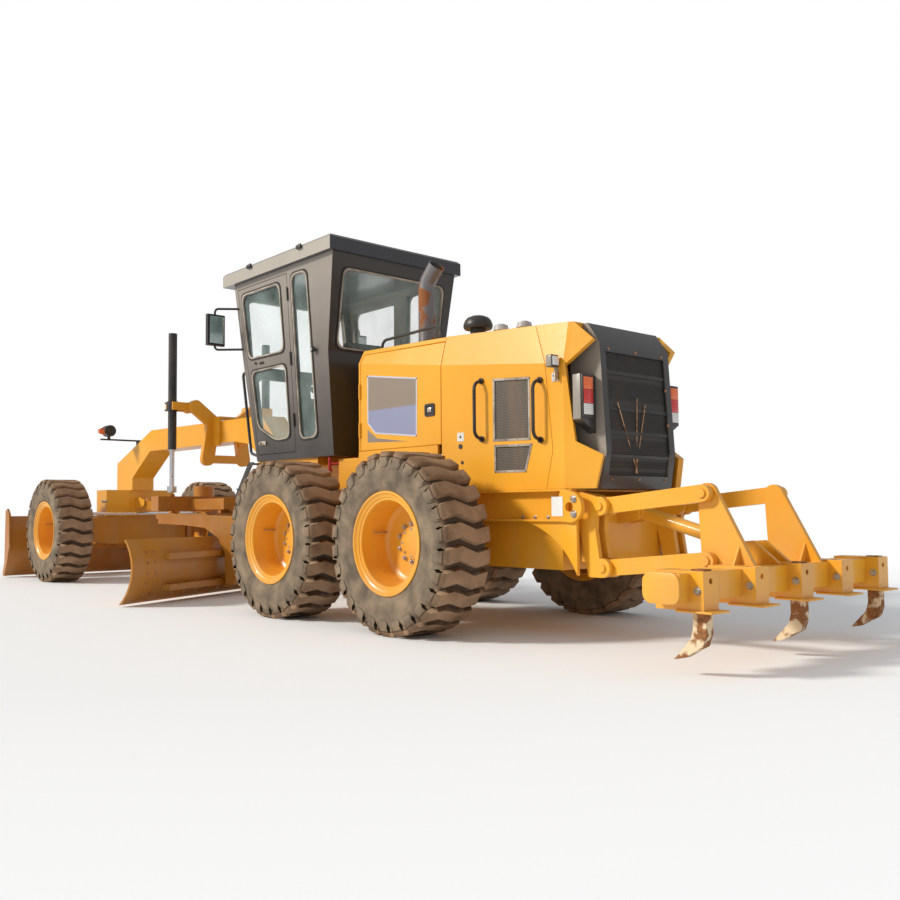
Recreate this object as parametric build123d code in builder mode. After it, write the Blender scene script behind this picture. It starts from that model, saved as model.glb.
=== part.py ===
# Motor grader with a front dozer blade, an angled moldboard and a rear ripper.
# Millimetres. +X is forward, +Y is the machine's left, +Z is up.
# The origin is on the ground, below the middle of the overall length and width.
import os
from math import cos, hypot, radians, tan

from build123d import *

os.makedirs("parts", exist_ok=True)

# Whole machine
overall_length = 10530
rear_overhang = 3150  # rear face of the ripper behind the middle of the tandem
tandem_x = rear_overhang - overall_length / 2
tandem_spacing = 1527
wheelbase = 6118
axle_x = tandem_x + wheelbase
seat_gap = 0.3  # faces that turn or slide on each other
side_gap = 5  # moving pieces beside each other

# Wheels
tyre_radius = 648
tyre_width = 445
tread_depth = 36
lug_count = 26
groove_mouth = 42  # half the width of a groove's cutter at its top
groove_wave = 25  # how far a groove swings to and fro across the tread
sidewall_radius = 450  # where the tyre is widest
shoulder_radius = 596
flange_radius = 356
bead_radius = 318
rim_width = 386
rim_wall = 18
disc_inset = 250  # wheel disc in from the outer flange
disc_thickness = 20
wheel_y = 1060
hub_radius = 130

# Rear frame
rail_height = 215
rail_top_z = 1015
rail_y = 600
rail_flange = 80
rail_plate = 14
rail_rear_x = tandem_x - 1810
rail_front_x = tandem_x + 450
band_top_z = 1380
band_front_z = 1330
band_front_x = tandem_x + 740
tandem_half_height = 235
tandem_case_y = 620
tandem_case_width = 180
axle_housing_radius = 140
articulation_x = tandem_x + 900
articulation_pin = 55
fork_radius = 120
fork_thickness = 40
fork_low_z = 905
fork_high_z = 1255

# Engine hood
hood_y = 560
hood_top_y = 360
hood_shoulder = 250
hood_wall = 25
hood_front_x = tandem_x + 450
hood_panel = 1000
hood_tail = 390
door_gap = 5
# Height of the hood's top at its front, at each seam and at its tail
hood_top_z = (2250, 2220, 2150, 2130)

# Cab
cab_floor_z = 1360
cab_belt_z = 2280
cab_top_z = 3130
cab_wall = 40
cab_floor_y = 630
cab_roof_y = 720
# Rear and front faces of the cab at its floor, belt and top
cab_floor_x = (tandem_x + 713, tandem_x + 1985)
cab_belt_x = (tandem_x + 733, tandem_x + 2155)
cab_top_x = (tandem_x + 600, tandem_x + 2280)
roof_height = 136
roof_y = 772
roof_rear_x = tandem_x + 570
roof_front_x = tandem_x + 2420
glass_depth = 12  # glass set in from the wall's outer face
glass_thickness = 6

# Front frame
neck_y = 150
neck_top_z = 1930
neck_bottom_z = 1660
head_front_x = tandem_x + 6460
kingpin_y = 760
axle_z = tyre_radius

# Drawbar, circle and moldboard
ball_x = tandem_x + 5800
ball_z = 1000
ball_radius = 58
circle_x = tandem_x + 3700
circle_top_z = 860
circle_radius = 790
circle_bore = 660
circle_thickness = 60
arm_y = 820
arm_thickness = 40
blade_angle = 25.4
blade_length = 3960
blade_plate = 20
edge_setback = 361  # cutting edge behind the middle of the circle
edge_clearance = 20
blade_height = 600
lift_x = tandem_x + 3850
lift_y = 615
lift_yoke_z = 2070
lift_top_z = 2900
lift_barrel_low_z = 1580
lift_eye_z = 1120

# Ripper
bracket_x = tandem_x - 2047
ripper_low_z = 500
link_spread = 400  # upper pins above the lower ones
link_reach = 722
link_rise = 72
link_y = 410
link_thickness = 50
beam_half = 1180
shank_y = 1020
ripper_rear_x = -overall_length / 2

# Dozer blade
dozer_front_x = overall_length / 2
dozer_half = 1370
dozer_height = 830
dozer_pivot_x = tandem_x + 6620
dozer_pivot_z = 620


def side_plate(points, y_left, y_right, mode=Mode.ADD):
    # An outline in X and Z, carried across from y_left to y_right
    with BuildSketch(Plane((0, y_left, 0), x_dir=(1, 0, 0), z_dir=(0, -1, 0))) as outline:
        with BuildLine():
            Polyline(*points, close=True)
        make_face()
    extrude(outline.sketch, amount=y_left - y_right, mode=mode)


def flat_plate(points, z_low, z_high, mode=Mode.ADD):
    # An outline in X and Y, carried up from z_low to z_high
    with BuildSketch(Plane.XY.offset(z_low)) as outline:
        with BuildLine():
            Polyline(*points, close=True)
        make_face()
    extrude(outline.sketch, amount=z_high - z_low, mode=mode)


def placed(points):
    # An outline measured from the middle of the tandem
    return [(tandem_x + x, z) for x, z in points]


def block(x_span, y_span, z_span, mode=Mode.ADD):
    spans = (x_span, y_span, z_span)
    with Locations(tuple((low + high) / 2 for low, high in spans)):
        Box(*(abs(high - low) for low, high in spans), mode=mode)


def bar(start, end, radius, mode=Mode.ADD):
    # A round bar between two points
    run = Vector(*end) - Vector(*start)
    with BuildSketch(Plane(origin=start, z_dir=run)) as section:
        Circle(radius)
    extrude(section.sketch, amount=run.length, mode=mode)


def link_plate(ends, y_left, y_right, mode=Mode.ADD):
    # A plate with round ends; ends are (x, z, radius)
    with BuildSketch(Plane((0, y_left, 0), x_dir=(1, 0, 0), z_dir=(0, -1, 0))) as outline:
        for x, z, radius in ends:
            with Locations((x, z)):
                Circle(radius)
        make_hull()
    extrude(outline.sketch, amount=y_left - y_right, mode=mode)


def bent_tube(points, radius, bend, mode=Mode.ADD):
    # A tube along straight runs with equal bends
    with BuildLine() as path:
        FilletPolyline(*points, radius=bend)
    with BuildSketch(Plane(origin=path.line @ 0, z_dir=path.line % 0)) as section:
        Circle(radius)
    sweep(section.sketch, path=path.line, mode=mode)


def hinge_knuckles(foot, top, places, length, radius, of_leaf):
    # Hinge barrels along a line; the leaf has the middle third, the jamb the two ends
    run = Vector(*top) - Vector(*foot)
    ahead = run.normalized()
    sixth = length / 6
    for place in places:
        middle = Vector(*foot) + ahead * place
        for low, high in ((-3, -1), (-1, 1), (1, 3)):
            start = middle + ahead * low * sixth
            end = middle + ahead * high * sixth
            if (low == -1) == of_leaf:
                bar(start + ahead * seat_gap, end - ahead * seat_gap, radius)
            else:
                bar(start, end, radius + seat_gap, mode=Mode.SUBTRACT)


def finish(builder, name):
    builder.part.label = name
    export_step(builder.part, f"parts/{name}.step")


sides = (("left", 1), ("right", -1))

# Tyre, made once about the Y axis and set at each wheel: a ring with one flat for each lug
rim_half = rim_width / 2
tyre_half = tyre_width / 2
half_pitch = 180 / lug_count
corner_ratio = 1 / cos(radians(half_pitch))
# Columns: place across the tyre, distance of the ring's flats from the axle
outer_ring = ((tyre_half, sidewall_radius), (tyre_half - 8, shoulder_radius), (tyre_half - 34, tyre_radius))
inner_ring = ((rim_half - 22, bead_radius), (tyre_half, sidewall_radius))


def ring_section(across, flat):
    with BuildSketch(Plane((0, across, 0), x_dir=(1, 0, 0), z_dir=(0, 1, 0))) as section:
        RegularPolygon(flat, lug_count, major_radius=False, rotation=90 + half_pitch)
    return section.sketch


with BuildPart() as tyre_form:
    loft([ring_section(-y, flat) for y, flat in outer_ring]
         + [ring_section(y, flat) for y, flat in reversed(outer_ring)], ruled=True)
    loft([ring_section(-y, flat) for y, flat in reversed(inner_ring)]
         + [ring_section(y, flat) for y, flat in inner_ring], ruled=True, mode=Mode.SUBTRACT)
    # A groove zigzags across the tread along each corner of the ring, and leaves at the corner itself
    groove_radius = tyre_radius - tread_depth
    shoulder_share = (groove_radius / corner_ratio - shoulder_radius) / (tyre_radius - shoulder_radius)
    exit_y = tyre_half - 8 - 26 * shoulder_share
    bend_y = tyre_half / 3
    lead = groove_wave / (exit_y - bend_y)
    reach = 1.3 * exit_y
    groove_line = [(-reach, -lead * (reach - exit_y)), (-bend_y, groove_wave),
                   (bend_y, -groove_wave), (reach, lead * (reach - exit_y))]
    for groove in range(lug_count):
        turn = 360 * (groove + 0.5) / lug_count
        floor = Plane((0, 0, 0), x_dir=(0, 1, 0), z_dir=(0, 0, -1)).rotated((0, turn, 0)).offset(groove_radius)
        with BuildLine(floor) as groove_path:
            Polyline(*groove_line)
        along = groove_path.line % 0
        with BuildSketch(Plane(groove_path.line @ 0, floor.z_dir.cross(along), along)) as vee:
            Polygon((0, 0), (groove_mouth, tread_depth * 1.6), (-groove_mouth, tread_depth * 1.6), align=None)
        sweep(vee.sketch, path=groove_path.line, transition=Transition.RIGHT, mode=Mode.SUBTRACT)

# Rim, its disc nearer the machine; the outer side is +Y
disc_out = rim_half - disc_inset
disc_in = disc_out - disc_thickness
bore_radius = bead_radius - rim_wall
with BuildPart() as rim_form:
    with BuildSketch(Plane.YZ) as rim_section:
        with BuildLine():
            Polyline(
                (disc_in, 0),
                (disc_in, bore_radius - 12),
                (-rim_half - 7, bore_radius),
                (-rim_half - 7, flange_radius),
                (-rim_half + 5, flange_radius),
                (-rim_half + 20, bead_radius),
                (rim_half - 20, bead_radius),
                (rim_half - 5, flange_radius),
                (rim_half + 7, flange_radius),
                (rim_half + 7, bead_radius - 10),
                (disc_out, bore_radius - 12),
                (disc_out, 0),
                close=True,
            )
        make_face()
    revolve(axis=Axis.Y)
    # Raised hub with its ring of studs
    with BuildSketch(Plane((0, disc_out, 0), x_dir=(1, 0, 0), z_dir=(0, 1, 0))) as hub:
        Circle(hub_radius)
    extrude(hub.sketch, amount=18)

# Columns: name, distance of the axle from the tandem's middle
wheel_axles = (("front", wheelbase), ("middle", tandem_spacing / 2), ("rear", -tandem_spacing / 2))
for axle, distance in wheel_axles:
    for side, sign in sides:
        place = Location((tandem_x + distance, sign * wheel_y, axle_z), (0, 0, 90 - 90 * sign))
        with BuildPart() as tyre:
            add(tyre_form.part.moved(place))
        finish(tyre, f"tyre_{axle}_{side}")
        with BuildPart() as rim:
            add(rim_form.part.moved(place))
        finish(rim, f"rim_{axle}_{side}")
hub_face_y = wheel_y + disc_in

# Rear frame: rails, deck, bands under the hood, articulation fork and ripper brackets
rail_low_z = rail_top_z - rail_height
rail_web_y = rail_y - rail_flange
bracket_top = (bracket_x + 17, ripper_low_z + link_spread)
inner_plate_y = (link_y - side_gap - 40, link_y - side_gap)
outer_plate_y = (link_y + link_thickness + side_gap, link_y + link_thickness + side_gap + 35)
cylinder_base = (tandem_x - 2000, 860)
with BuildPart() as rear_chassis:
    for side, sign in sides:
        block((rail_rear_x, rail_front_x), (sign * rail_web_y, sign * (rail_web_y + rail_plate)),
              (rail_low_z, rail_top_z))
        for low in (rail_low_z, rail_top_z - rail_plate):
            block((rail_rear_x, rail_front_x), (sign * rail_web_y, sign * rail_y), (low, low + rail_plate))
        # Band below the hood's front panel, stepped down ahead of it
        side_plate(
            [
                (hood_front_x - hood_panel, rail_top_z),
                (hood_front_x - hood_panel, band_top_z),
                (hood_front_x, band_top_z),
                (hood_front_x, band_front_z),
                (band_front_x, band_front_z),
                (band_front_x, rail_top_z),
                (rail_front_x, rail_low_z),
                (rail_front_x, rail_top_z),
            ],
            sign * hood_y, sign * (hood_y - 30),
        )
        # Rear lug with its eye
        link_plate(
            [(rail_rear_x - 57, rail_top_z - 119, 102), (rail_rear_x, rail_low_z + 20, 20),
             (rail_rear_x, rail_top_z - 20, 20)],
            sign * rail_y, sign * (rail_y - 35),
        )
        bar((rail_rear_x - 57, sign * (rail_y + 1), rail_top_z - 119),
            (rail_rear_x - 57, sign * (rail_y - 36), rail_top_z - 119), 32, mode=Mode.SUBTRACT)
        # Bracket plates on each side of the ripper links
        for low, high in (inner_plate_y, outer_plate_y):
            side_plate(
                [
                    (rail_rear_x, rail_top_z),
                    (bracket_top[0] + 15, bracket_top[1] + 60),
                    (bracket_top[0] + 30, 740),
                    (bracket_x, ripper_low_z - 62),
                    (bracket_x + 110, ripper_low_z - 62),
                    (rail_rear_x - 60, rail_low_z - 60),
                    (rail_rear_x, rail_low_z),
                ],
                sign * high, sign * low,
            )
            for pin_x, pin_z in (bracket_top, (bracket_x, ripper_low_z)):
                bar((pin_x, sign * low, pin_z), (pin_x, sign * high, pin_z), 62)
        for pin_x, pin_z in (bracket_top, (bracket_x, ripper_low_z)):
            bar((pin_x, sign * inner_plate_y[0], pin_z),
                (pin_x, sign * (outer_plate_y[1] + 12), pin_z), 28)
        block((rail_rear_x - 35, rail_rear_x), (sign * inner_plate_y[0], sign * (rail_y - 50)),
              (rail_low_z, rail_top_z))
    # Deck, rear plate and the tank between the rails
    block((rail_rear_x, rail_front_x), (-rail_web_y, rail_web_y), (rail_top_z - rail_plate, rail_top_z))
    block((rail_rear_x - 60, rail_rear_x), (-inner_plate_y[1], inner_plate_y[1]), (ripper_low_z + 30, 960))
    block((tandem_x - 1700, tandem_x - 300), (-470, 470), (470, rail_low_z))
    block((tandem_x - 1600, tandem_x - 400), (-470, 470), (rail_low_z, rail_top_z))
    block((tandem_x + 200, tandem_x + 430), (-300, 300), (500, rail_top_z))
    # Ears of the ripper cylinder
    for side, sign in sides:
        side_plate(
            [
                (rail_rear_x - 60, cylinder_base[1] - 80),
                (rail_rear_x - 60, cylinder_base[1] + 80),
                (cylinder_base[0] - 40, cylinder_base[1] + 50),
                (cylinder_base[0] - 40, cylinder_base[1] - 50),
            ],
            sign * 95, sign * 65,
        )
    # Bulkhead and articulation fork
    block((rail_front_x, rail_front_x + 60), (-hood_y + 30, hood_y - 30), (rail_low_z, band_front_z))
    for low in (fork_low_z, fork_high_z - fork_thickness):
        with BuildSketch(Plane.XY.offset(low)) as fork:
            with Locations((articulation_x, 0)):
                Circle(fork_radius)
            with Locations((rail_front_x + 60, -260), (rail_front_x + 60, 260)):
                Circle(40)
            make_hull()
        extrude(fork.sketch, amount=fork_thickness)
    bar((articulation_x, 0, fork_low_z - 15), (articulation_x, 0, fork_high_z + 15), articulation_pin)
finish(rear_chassis, "rear_chassis")

# Tandem cases with the drive axle between them and a spindle for each wheel
with BuildPart() as tandem_axle:
    for side, sign in sides:
        ends = [(tandem_x + step * tandem_spacing / 2, axle_z, tandem_half_height) for step in (-1, 1)]
        link_plate(ends, sign * tandem_case_y, sign * (tandem_case_y + tandem_case_width))
        for x, z, radius in ends:
            bar((x, sign * tandem_case_y, z), (x, sign * (hub_face_y - seat_gap), z), hub_radius)
    bar((tandem_x, -tandem_case_y, axle_z), (tandem_x, tandem_case_y, axle_z), axle_housing_radius)
    with Locations((tandem_x, 0, axle_z)):
        Sphere(190)
    for side, sign in sides:
        block((tandem_x - 150, tandem_x + 150), (sign * rail_web_y, sign * (rail_y - 5)),
              (axle_z, rail_low_z))
    block((tandem_x - 300, tandem_x + 205), (-250, 250), (axle_z + 160, axle_z + 400), mode=Mode.SUBTRACT)
finish(tandem_axle, "tandem_axle")


# Hood
def hood_height(x):
    steps = (hood_front_x, hood_front_x - hood_panel, hood_front_x - 2 * hood_panel,
             hood_front_x - 2 * hood_panel - hood_tail)
    for index in (1, 2):
        if x >= steps[index] - 0.01:
            break
    else:
        index = 3
    share = (steps[index - 1] - x) / (steps[index - 1] - steps[index])
    return hood_top_z[index - 1] + share * (hood_top_z[index] - hood_top_z[index - 1])


def hood_loft(x_front, x_rear, low_z, wall, mode=Mode.ADD):
    # The hood's cross-section, in from the outside by one wall, between two places
    slope = hypot(hood_y - hood_top_y, hood_shoulder)
    lean = (hood_y - hood_top_y) / slope
    rise = hood_shoulder / slope
    faces = []
    for x in (x_front, x_rear):
        top = hood_height(x)
        crease = top - hood_shoulder - wall * lean + wall * (1 - rise) / lean * rise
        ridge_y = hood_y - wall * rise - (hood_shoulder - wall + wall * lean) / rise * lean
        with BuildSketch(Plane((x, 0, 0), x_dir=(0, 1, 0), z_dir=(1, 0, 0))) as station:
            with BuildLine():
                Polyline(
                    (-(hood_y - wall), low_z), (-(hood_y - wall), crease), (-ridge_y, top - wall),
                    (ridge_y, top - wall), (hood_y - wall, crease), (hood_y - wall, low_z), close=True,
                )
            make_face()
        faces.append(station.sketch.faces()[0])
    loft(faces, ruled=True, mode=mode)


seam_x = [hood_front_x - step * hood_panel for step in (0, 1, 2)]
tail_x = seam_x[2] - hood_tail


def engine_door_outline(gap):
    rear = seam_x[1] + 20 + 2 * gap
    front = seam_x[0] - 25 - gap
    low = band_top_z + 25 + gap
    return [(rear, low), (rear, hood_height(rear) - 60 - gap), (front, hood_height(front) - 60 - gap),
            (front, low)]


engine_hinge_places = (90, 420)


def engine_hinge(sign):
    x, y = seam_x[0] - 25, sign * (hood_y + 5)
    return (x, y, band_top_z + 30), (x, y, band_top_z + 530)


with BuildPart() as hood_front:
    hood_loft(seam_x[0], seam_x[1], band_top_z, 0)
    hood_loft(seam_x[0] - hood_wall, seam_x[1] - 1, band_top_z - 1, hood_wall, mode=Mode.SUBTRACT)
    for side, sign in sides:
        side_plate(engine_door_outline(0), sign * (hood_y + 1), sign * (hood_top_y - 20), mode=Mode.SUBTRACT)
        hinge_knuckles(*engine_hinge(sign), engine_hinge_places, 120, 11, False)
finish(hood_front, "hood_front")

for side, sign in sides:
    with BuildPart() as engine_door:
        hood_loft(seam_x[0], seam_x[1], band_top_z, 0)
        hood_loft(seam_x[0] + 1, seam_x[1] - 1, band_top_z - 1, hood_wall, mode=Mode.SUBTRACT)
        side_plate(engine_door_outline(door_gap), sign * (hood_y + 1), sign * (hood_top_y - 15),
                   mode=Mode.INTERSECT)
        hinge_knuckles(*engine_hinge(sign), engine_hinge_places, 120, 11, True)
    finish(engine_door, f"engine_door_{side}")

# Side vents; outlines in X and Z
vent_outlines = (
    ((-1147, 1370), (-1147, 1825), (-1503, 1800), (-1503, 1360)),
    ((-1155, 1145), (-1155, 1345), (-1522, 1335), (-1460, 1140)),
)
with BuildPart() as hood_middle:
    hood_loft(seam_x[1] - 3, seam_x[2], rail_top_z, 0)
    hood_loft(seam_x[1], seam_x[2] - 1, rail_top_z - 1, hood_wall, mode=Mode.SUBTRACT)
    for vent in vent_outlines:
        for side, sign in sides:
            side_plate(placed(vent), sign * (hood_y + 1), sign * (hood_y - hood_wall - 1), mode=Mode.SUBTRACT)
finish(hood_middle, "hood_middle")

tail_wall = 40
# Notch in the tail for the top of the black surround
notch_depth = 62
notch_y = 420
notch_low_z = 1900
with BuildPart() as hood_rear:
    hood_loft(seam_x[2] - 3, tail_x - 160, rail_top_z, 0)
    hood_loft(seam_x[2], tail_x - 161, rail_top_z - 1, tail_wall, mode=Mode.SUBTRACT)
    side_plate(
        [
            (seam_x[2], rail_top_z),
            (seam_x[2], hood_top_z[2] + 50),
            (tail_x, hood_top_z[3] + 50),
            (tail_x, hood_top_z[3] - 5),
            (tail_x - 110, hood_top_z[3] - 145),
            (tail_x + 90, hood_top_z[3] - 280),
            (tail_x + 120, hood_top_z[3] - 370),
            (tail_x + 120, hood_top_z[3] - 790),
            (tail_x - 150, hood_top_z[3] - 896),
            (tail_x - 20, rail_top_z),
        ],
        hood_y + 1, -hood_y - 1, mode=Mode.INTERSECT,
    )
    block((tail_x - 200, tail_x + notch_depth), (-notch_y, notch_y), (notch_low_z, 2200), mode=Mode.SUBTRACT)
finish(hood_rear, "hood_rear")

# Grilles: the black tail surround with its mesh, and the side vents' mesh plates
surround_y = 410
mesh_y = 345
mesh_depth = 18
with BuildPart() as grilles:
    surround = [
        (tail_x + 240, rail_top_z),
        (tail_x + 240, hood_top_z[3] - 70),
        (tail_x + 62, hood_top_z[3] - 5),
        (tail_x + 15, hood_top_z[3] - 140),
        (tail_x - 26, rail_top_z),
    ]
    side_plate(surround, surround_y, -surround_y)
    hood_loft(seam_x[2], tail_x - 161, rail_top_z - 1, tail_wall + seat_gap, mode=Mode.INTERSECT)
    with BuildPart(mode=Mode.PRIVATE) as crown:
        side_plate(
            [
                (tail_x + notch_depth - seat_gap, notch_low_z + seat_gap),
                (tail_x + notch_depth - seat_gap, hood_top_z[3] + 50),
                (tail_x + 40, hood_top_z[3] - 40),
                (tail_x + 15, hood_top_z[3] - 140),
                (tail_x + 5, notch_low_z + seat_gap),
            ],
            notch_y - seat_gap, seat_gap - notch_y,
        )
        hood_loft(seam_x[2], tail_x - 161, rail_top_z, 0, mode=Mode.INTERSECT)
    add(crown.part)
    side_plate(
        [
            (tail_x + 12 + mesh_depth, hood_top_z[3] - 170),
            (tail_x - 60, hood_top_z[3] - 170),
            (tail_x - 60, rail_top_z + 100),
            (tail_x - 22 + mesh_depth, rail_top_z + 100),
        ],
        mesh_y, -mesh_y, mode=Mode.SUBTRACT,
    )
    for vent in vent_outlines:
        for side, sign in sides:
            side_plate(placed(vent), sign * (hood_y - 4), sign * (hood_y - 16))
finish(grilles, "grilles")

lamp_x = tail_x - 30
with BuildPart() as rear_lamps:
    for side, sign in sides:
        block((lamp_x, lamp_x + 140), (sign * surround_y, sign * 645), (1500, 1745))
        block((lamp_x - 10, lamp_x), (sign * 530, sign * 630), (1515, 1730))
        block((tandem_x - 1775, tandem_x - 1725), (sign * hood_y, sign * 600), (1760, 1850))
        block((tandem_x - 1800, tandem_x - 1720), (sign * 565, sign * 675), (1850, 1940))
finish(rear_lamps, "rear_lamps")

# Exhaust stack, bent back at its top
stack_x = tandem_x - 30
stack_y = 200
stack_radius = 70
stack_base_z = hood_height(stack_x)
stack_route = [(stack_x, stack_y, stack_base_z), (stack_x, stack_y, 2790), (stack_x - 130, stack_y, 2920)]
with BuildPart() as exhaust_stack:
    bent_tube(stack_route, stack_radius, 150)
    bent_tube([(stack_x, stack_y, stack_base_z + 300)] + stack_route[1:], stack_radius - 6, 150,
              mode=Mode.SUBTRACT)
    block((stack_x - 90, stack_x + 90), (stack_y - 90, stack_y + 90), (stack_base_z - 20, stack_base_z + 30))
    hood_loft(seam_x[0], seam_x[1], band_top_z, 0, mode=Mode.SUBTRACT)
finish(exhaust_stack, "exhaust_stack")

# Pre-cleaner, filler caps, top rail and the lifting handles of the middle panels
cleaner_x = tandem_x - 640
handle_radius = 13
with BuildPart() as hood_fittings:
    with BuildSketch(Plane((cleaner_x, stack_y, 0), x_dir=(1, 0, 0), z_dir=(0, -1, 0))) as cleaner:
        with BuildLine():
            Polyline((0, 2150), (60, 2150), (60, 2290), (140, 2300), (140, 2335), (95, 2400), (0, 2412),
                     close=True)
        make_face()
    revolve(cleaner.sketch, axis=Axis((cleaner_x, stack_y, 0), (0, 0, 1)))
    for cap_x in (tandem_x - 890, tandem_x - 1130):
        bar((cap_x, stack_y, 2150), (cap_x, stack_y, 2290), 45)
    hood_loft(seam_x[1], seam_x[2], band_top_z, 0, mode=Mode.SUBTRACT)
    for side, sign in sides:
        for handle_x in (tandem_x - 1035, tandem_x - 1600):
            reach = hood_y + 75
            bent_tube(
                [(handle_x, sign * hood_y, 1390), (handle_x, sign * reach, 1390),
                 (handle_x, sign * reach, 1790), (handle_x, sign * hood_y, 1790)],
                handle_radius, 45,
            )
    rail_low = hood_height(tandem_x + 210)
    bent_tube(
        [(tandem_x + 210, 330, rail_low - 10), (tandem_x + 210, 330, rail_low + 90),
         (tandem_x - 400, 330, rail_low + 90), (tandem_x - 400, 330, rail_low - 40)],
        handle_radius, 50,
    )
    hood_loft(seam_x[0], seam_x[1], band_top_z, 0, mode=Mode.SUBTRACT)
finish(hood_fittings, "hood_fittings")

with BuildPart() as engine_block:
    block((tandem_x - 1650, tandem_x - 600), (-300, 300), (rail_top_z, 1850))
    fillet(engine_block.edges().filter_by(Axis.X), 40)
finish(engine_block, "engine_block")

# Gooseneck frame, from the articulation tongue to the head over the front axle
tongue_z = (fork_low_z + fork_thickness + seat_gap, fork_high_z - fork_thickness - seat_gap)
platform_z = 1290
neck_outline = [
    (2350, 930), (2640, 1400), (2950, 1610), (3300, neck_bottom_z), (5430, neck_bottom_z), (5960, 1330),
    (5960, 1170), (6460, 1170), (6460, 1540), (5390, neck_top_z), (4640, neck_top_z - 10),
    (2700, neck_top_z - 30), (2420, 1640), (2300, platform_z), (1060, platform_z), (1060, 930),
]
with BuildPart() as gooseneck:
    side_plate(placed(neck_outline), neck_y, -neck_y)
    # Side beams under the cab and the cab platform
    for side, sign in sides:
        block((tandem_x + 1060, tandem_x + 2180), (sign * neck_y, sign * 280), (930, platform_z))
    block((tandem_x + 1000, tandem_x + 2020), (-600, 600), (platform_z, cab_floor_z))
    # Tongue between the fork plates
    block((articulation_x, tandem_x + 1062), (-110, 110), tongue_z)
    bar((articulation_x, 0, tongue_z[0]), (articulation_x, 0, tongue_z[1]), 110)
    bar((articulation_x, 0, 0), (articulation_x, 0, 2000), articulation_pin + seat_gap, mode=Mode.SUBTRACT)
    # Head over the axle, with the plate that carries the dozer blade
    block((tandem_x + 6020, tandem_x + 6350), (-480, 480), (830, 1170))
    block((tandem_x + 6010, head_front_x), (-neck_y, neck_y), (830, 1180))
    block((tandem_x + 6350, head_front_x), (-330, 330), (520, 1170))
    for side, sign in sides:
        block((head_front_x, dozer_pivot_x), (sign * 215, sign * 245), (dozer_pivot_z - 70, dozer_pivot_z + 70))
        bar((dozer_pivot_x, sign * 215, dozer_pivot_z), (dozer_pivot_x, sign * 245, dozer_pivot_z), 70)
        block((head_front_x, head_front_x + 130), (sign * 60, sign * 90), (1090, 1230))
        bar((dozer_pivot_x, sign * 215, dozer_pivot_z), (dozer_pivot_x, sign * 295, dozer_pivot_z), 30)
    # Socket for the drawbar's ball
    block((ball_x + ball_radius + seat_gap, tandem_x + 6021), (-76, 76), (930, 1070))
    for side, sign in sides:
        link_plate([(ball_x, ball_z, 45), (ball_x + 110, ball_z, 60)], sign * 62, sign * 76)
finish(gooseneck, "gooseneck")

# Front axle beam with an ear above and below each kingpin
ear_z = (120, 150)  # bottom and top of an ear above the axle's height
with BuildPart() as front_axle:
    with BuildSketch(Plane((axle_x - 80, 0, 0), x_dir=(0, 1, 0), z_dir=(1, 0, 0))) as beam:
        with BuildLine():
            Polyline((-665, 500), (-400, 460), (400, 460), (665, 500), (665, 800), (350, 830), (-350, 830),
                     (-665, 800), close=True)
        make_face()
    extrude(beam.sketch, amount=160)
    for side, sign in sides:
        for level in (1, -1):
            spans = sorted((axle_z + level * ear_z[0], axle_z + level * ear_z[1]))
            block((axle_x - 70, axle_x + 70), (sign * 640, sign * kingpin_y), spans)
            bar((axle_x, sign * kingpin_y, spans[0]), (axle_x, sign * kingpin_y, spans[1]), 70)
finish(front_axle, "front_axle")

# Steering knuckles: kingpin barrel, spindle and steering arm
knuckle_half = ear_z[0] - seat_gap
steer_arm = 218
tie_z = 860
for side, sign in sides:
    with BuildPart() as knuckle:
        y = sign * kingpin_y
        bar((axle_x, y, axle_z - knuckle_half), (axle_x, y, axle_z + knuckle_half), 68)
        bar((axle_x, y, axle_z), (axle_x, sign * (hub_face_y - seat_gap), axle_z), 60)
        bar((axle_x, sign * (hub_face_y - 60), axle_z), (axle_x, sign * (hub_face_y - seat_gap), axle_z), 120)
        # Arm leads back past the axle beam and up to the tie rod
        block((axle_x - steer_arm - 30, axle_x - 60), (y - 25, y + 25), (axle_z + 60, axle_z + 110))
        block((axle_x - steer_arm - 30, axle_x - steer_arm + 30), (y - 25, y + 25), (axle_z + 60, tie_z - 30))
    finish(knuckle, f"knuckle_{side}")

with BuildPart() as tie_rod:
    tie_x = axle_x - steer_arm
    bar((tie_x, -kingpin_y, tie_z), (tie_x, kingpin_y, tie_z), 20)
    for side, sign in sides:
        bar((tie_x, sign * kingpin_y, tie_z - 30 + seat_gap), (tie_x, sign * kingpin_y, tie_z + 30), 30)
finish(tie_rod, "tie_rod")


# Cab
def cab_half(z):
    return cab_floor_y + (cab_roof_y - cab_floor_y) * (z - cab_floor_z) / (cab_top_z - cab_floor_z)


def cab_loft(inset, low, high, mode=Mode.ADD):
    # The cab's outer form in from its faces by one inset, cut level low and high above its ends
    levels = ((cab_floor_z + low, cab_floor_x), (cab_belt_z, cab_belt_x), (cab_top_z - high, cab_top_x))
    sections = []
    for z, (rear, front) in levels:
        half = cab_half(z) - inset
        with BuildSketch(Plane.XY.offset(z)) as section:
            with BuildLine():
                Polyline((rear + inset, -half), (front - inset, -half), (front - inset, half),
                         (rear + inset, half), close=True)
            make_face()
        sections.append(section.sketch.faces()[0])
    loft(sections, ruled=True, mode=mode)


def shrink(points, gap):
    # An outline moved in by a gap all round
    with BuildSketch(Plane.XY) as outline:
        with BuildLine():
            Polyline(*points, close=True)
        make_face()
        if gap:
            offset(amount=-gap, kind=Kind.INTERSECTION, mode=Mode.REPLACE)
    wire = outline.sketch.faces()[0].outer_wire()
    return [(corner.X, corner.Y) for corner in (edge @ 0 for edge in wire.order_edges())]


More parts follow.
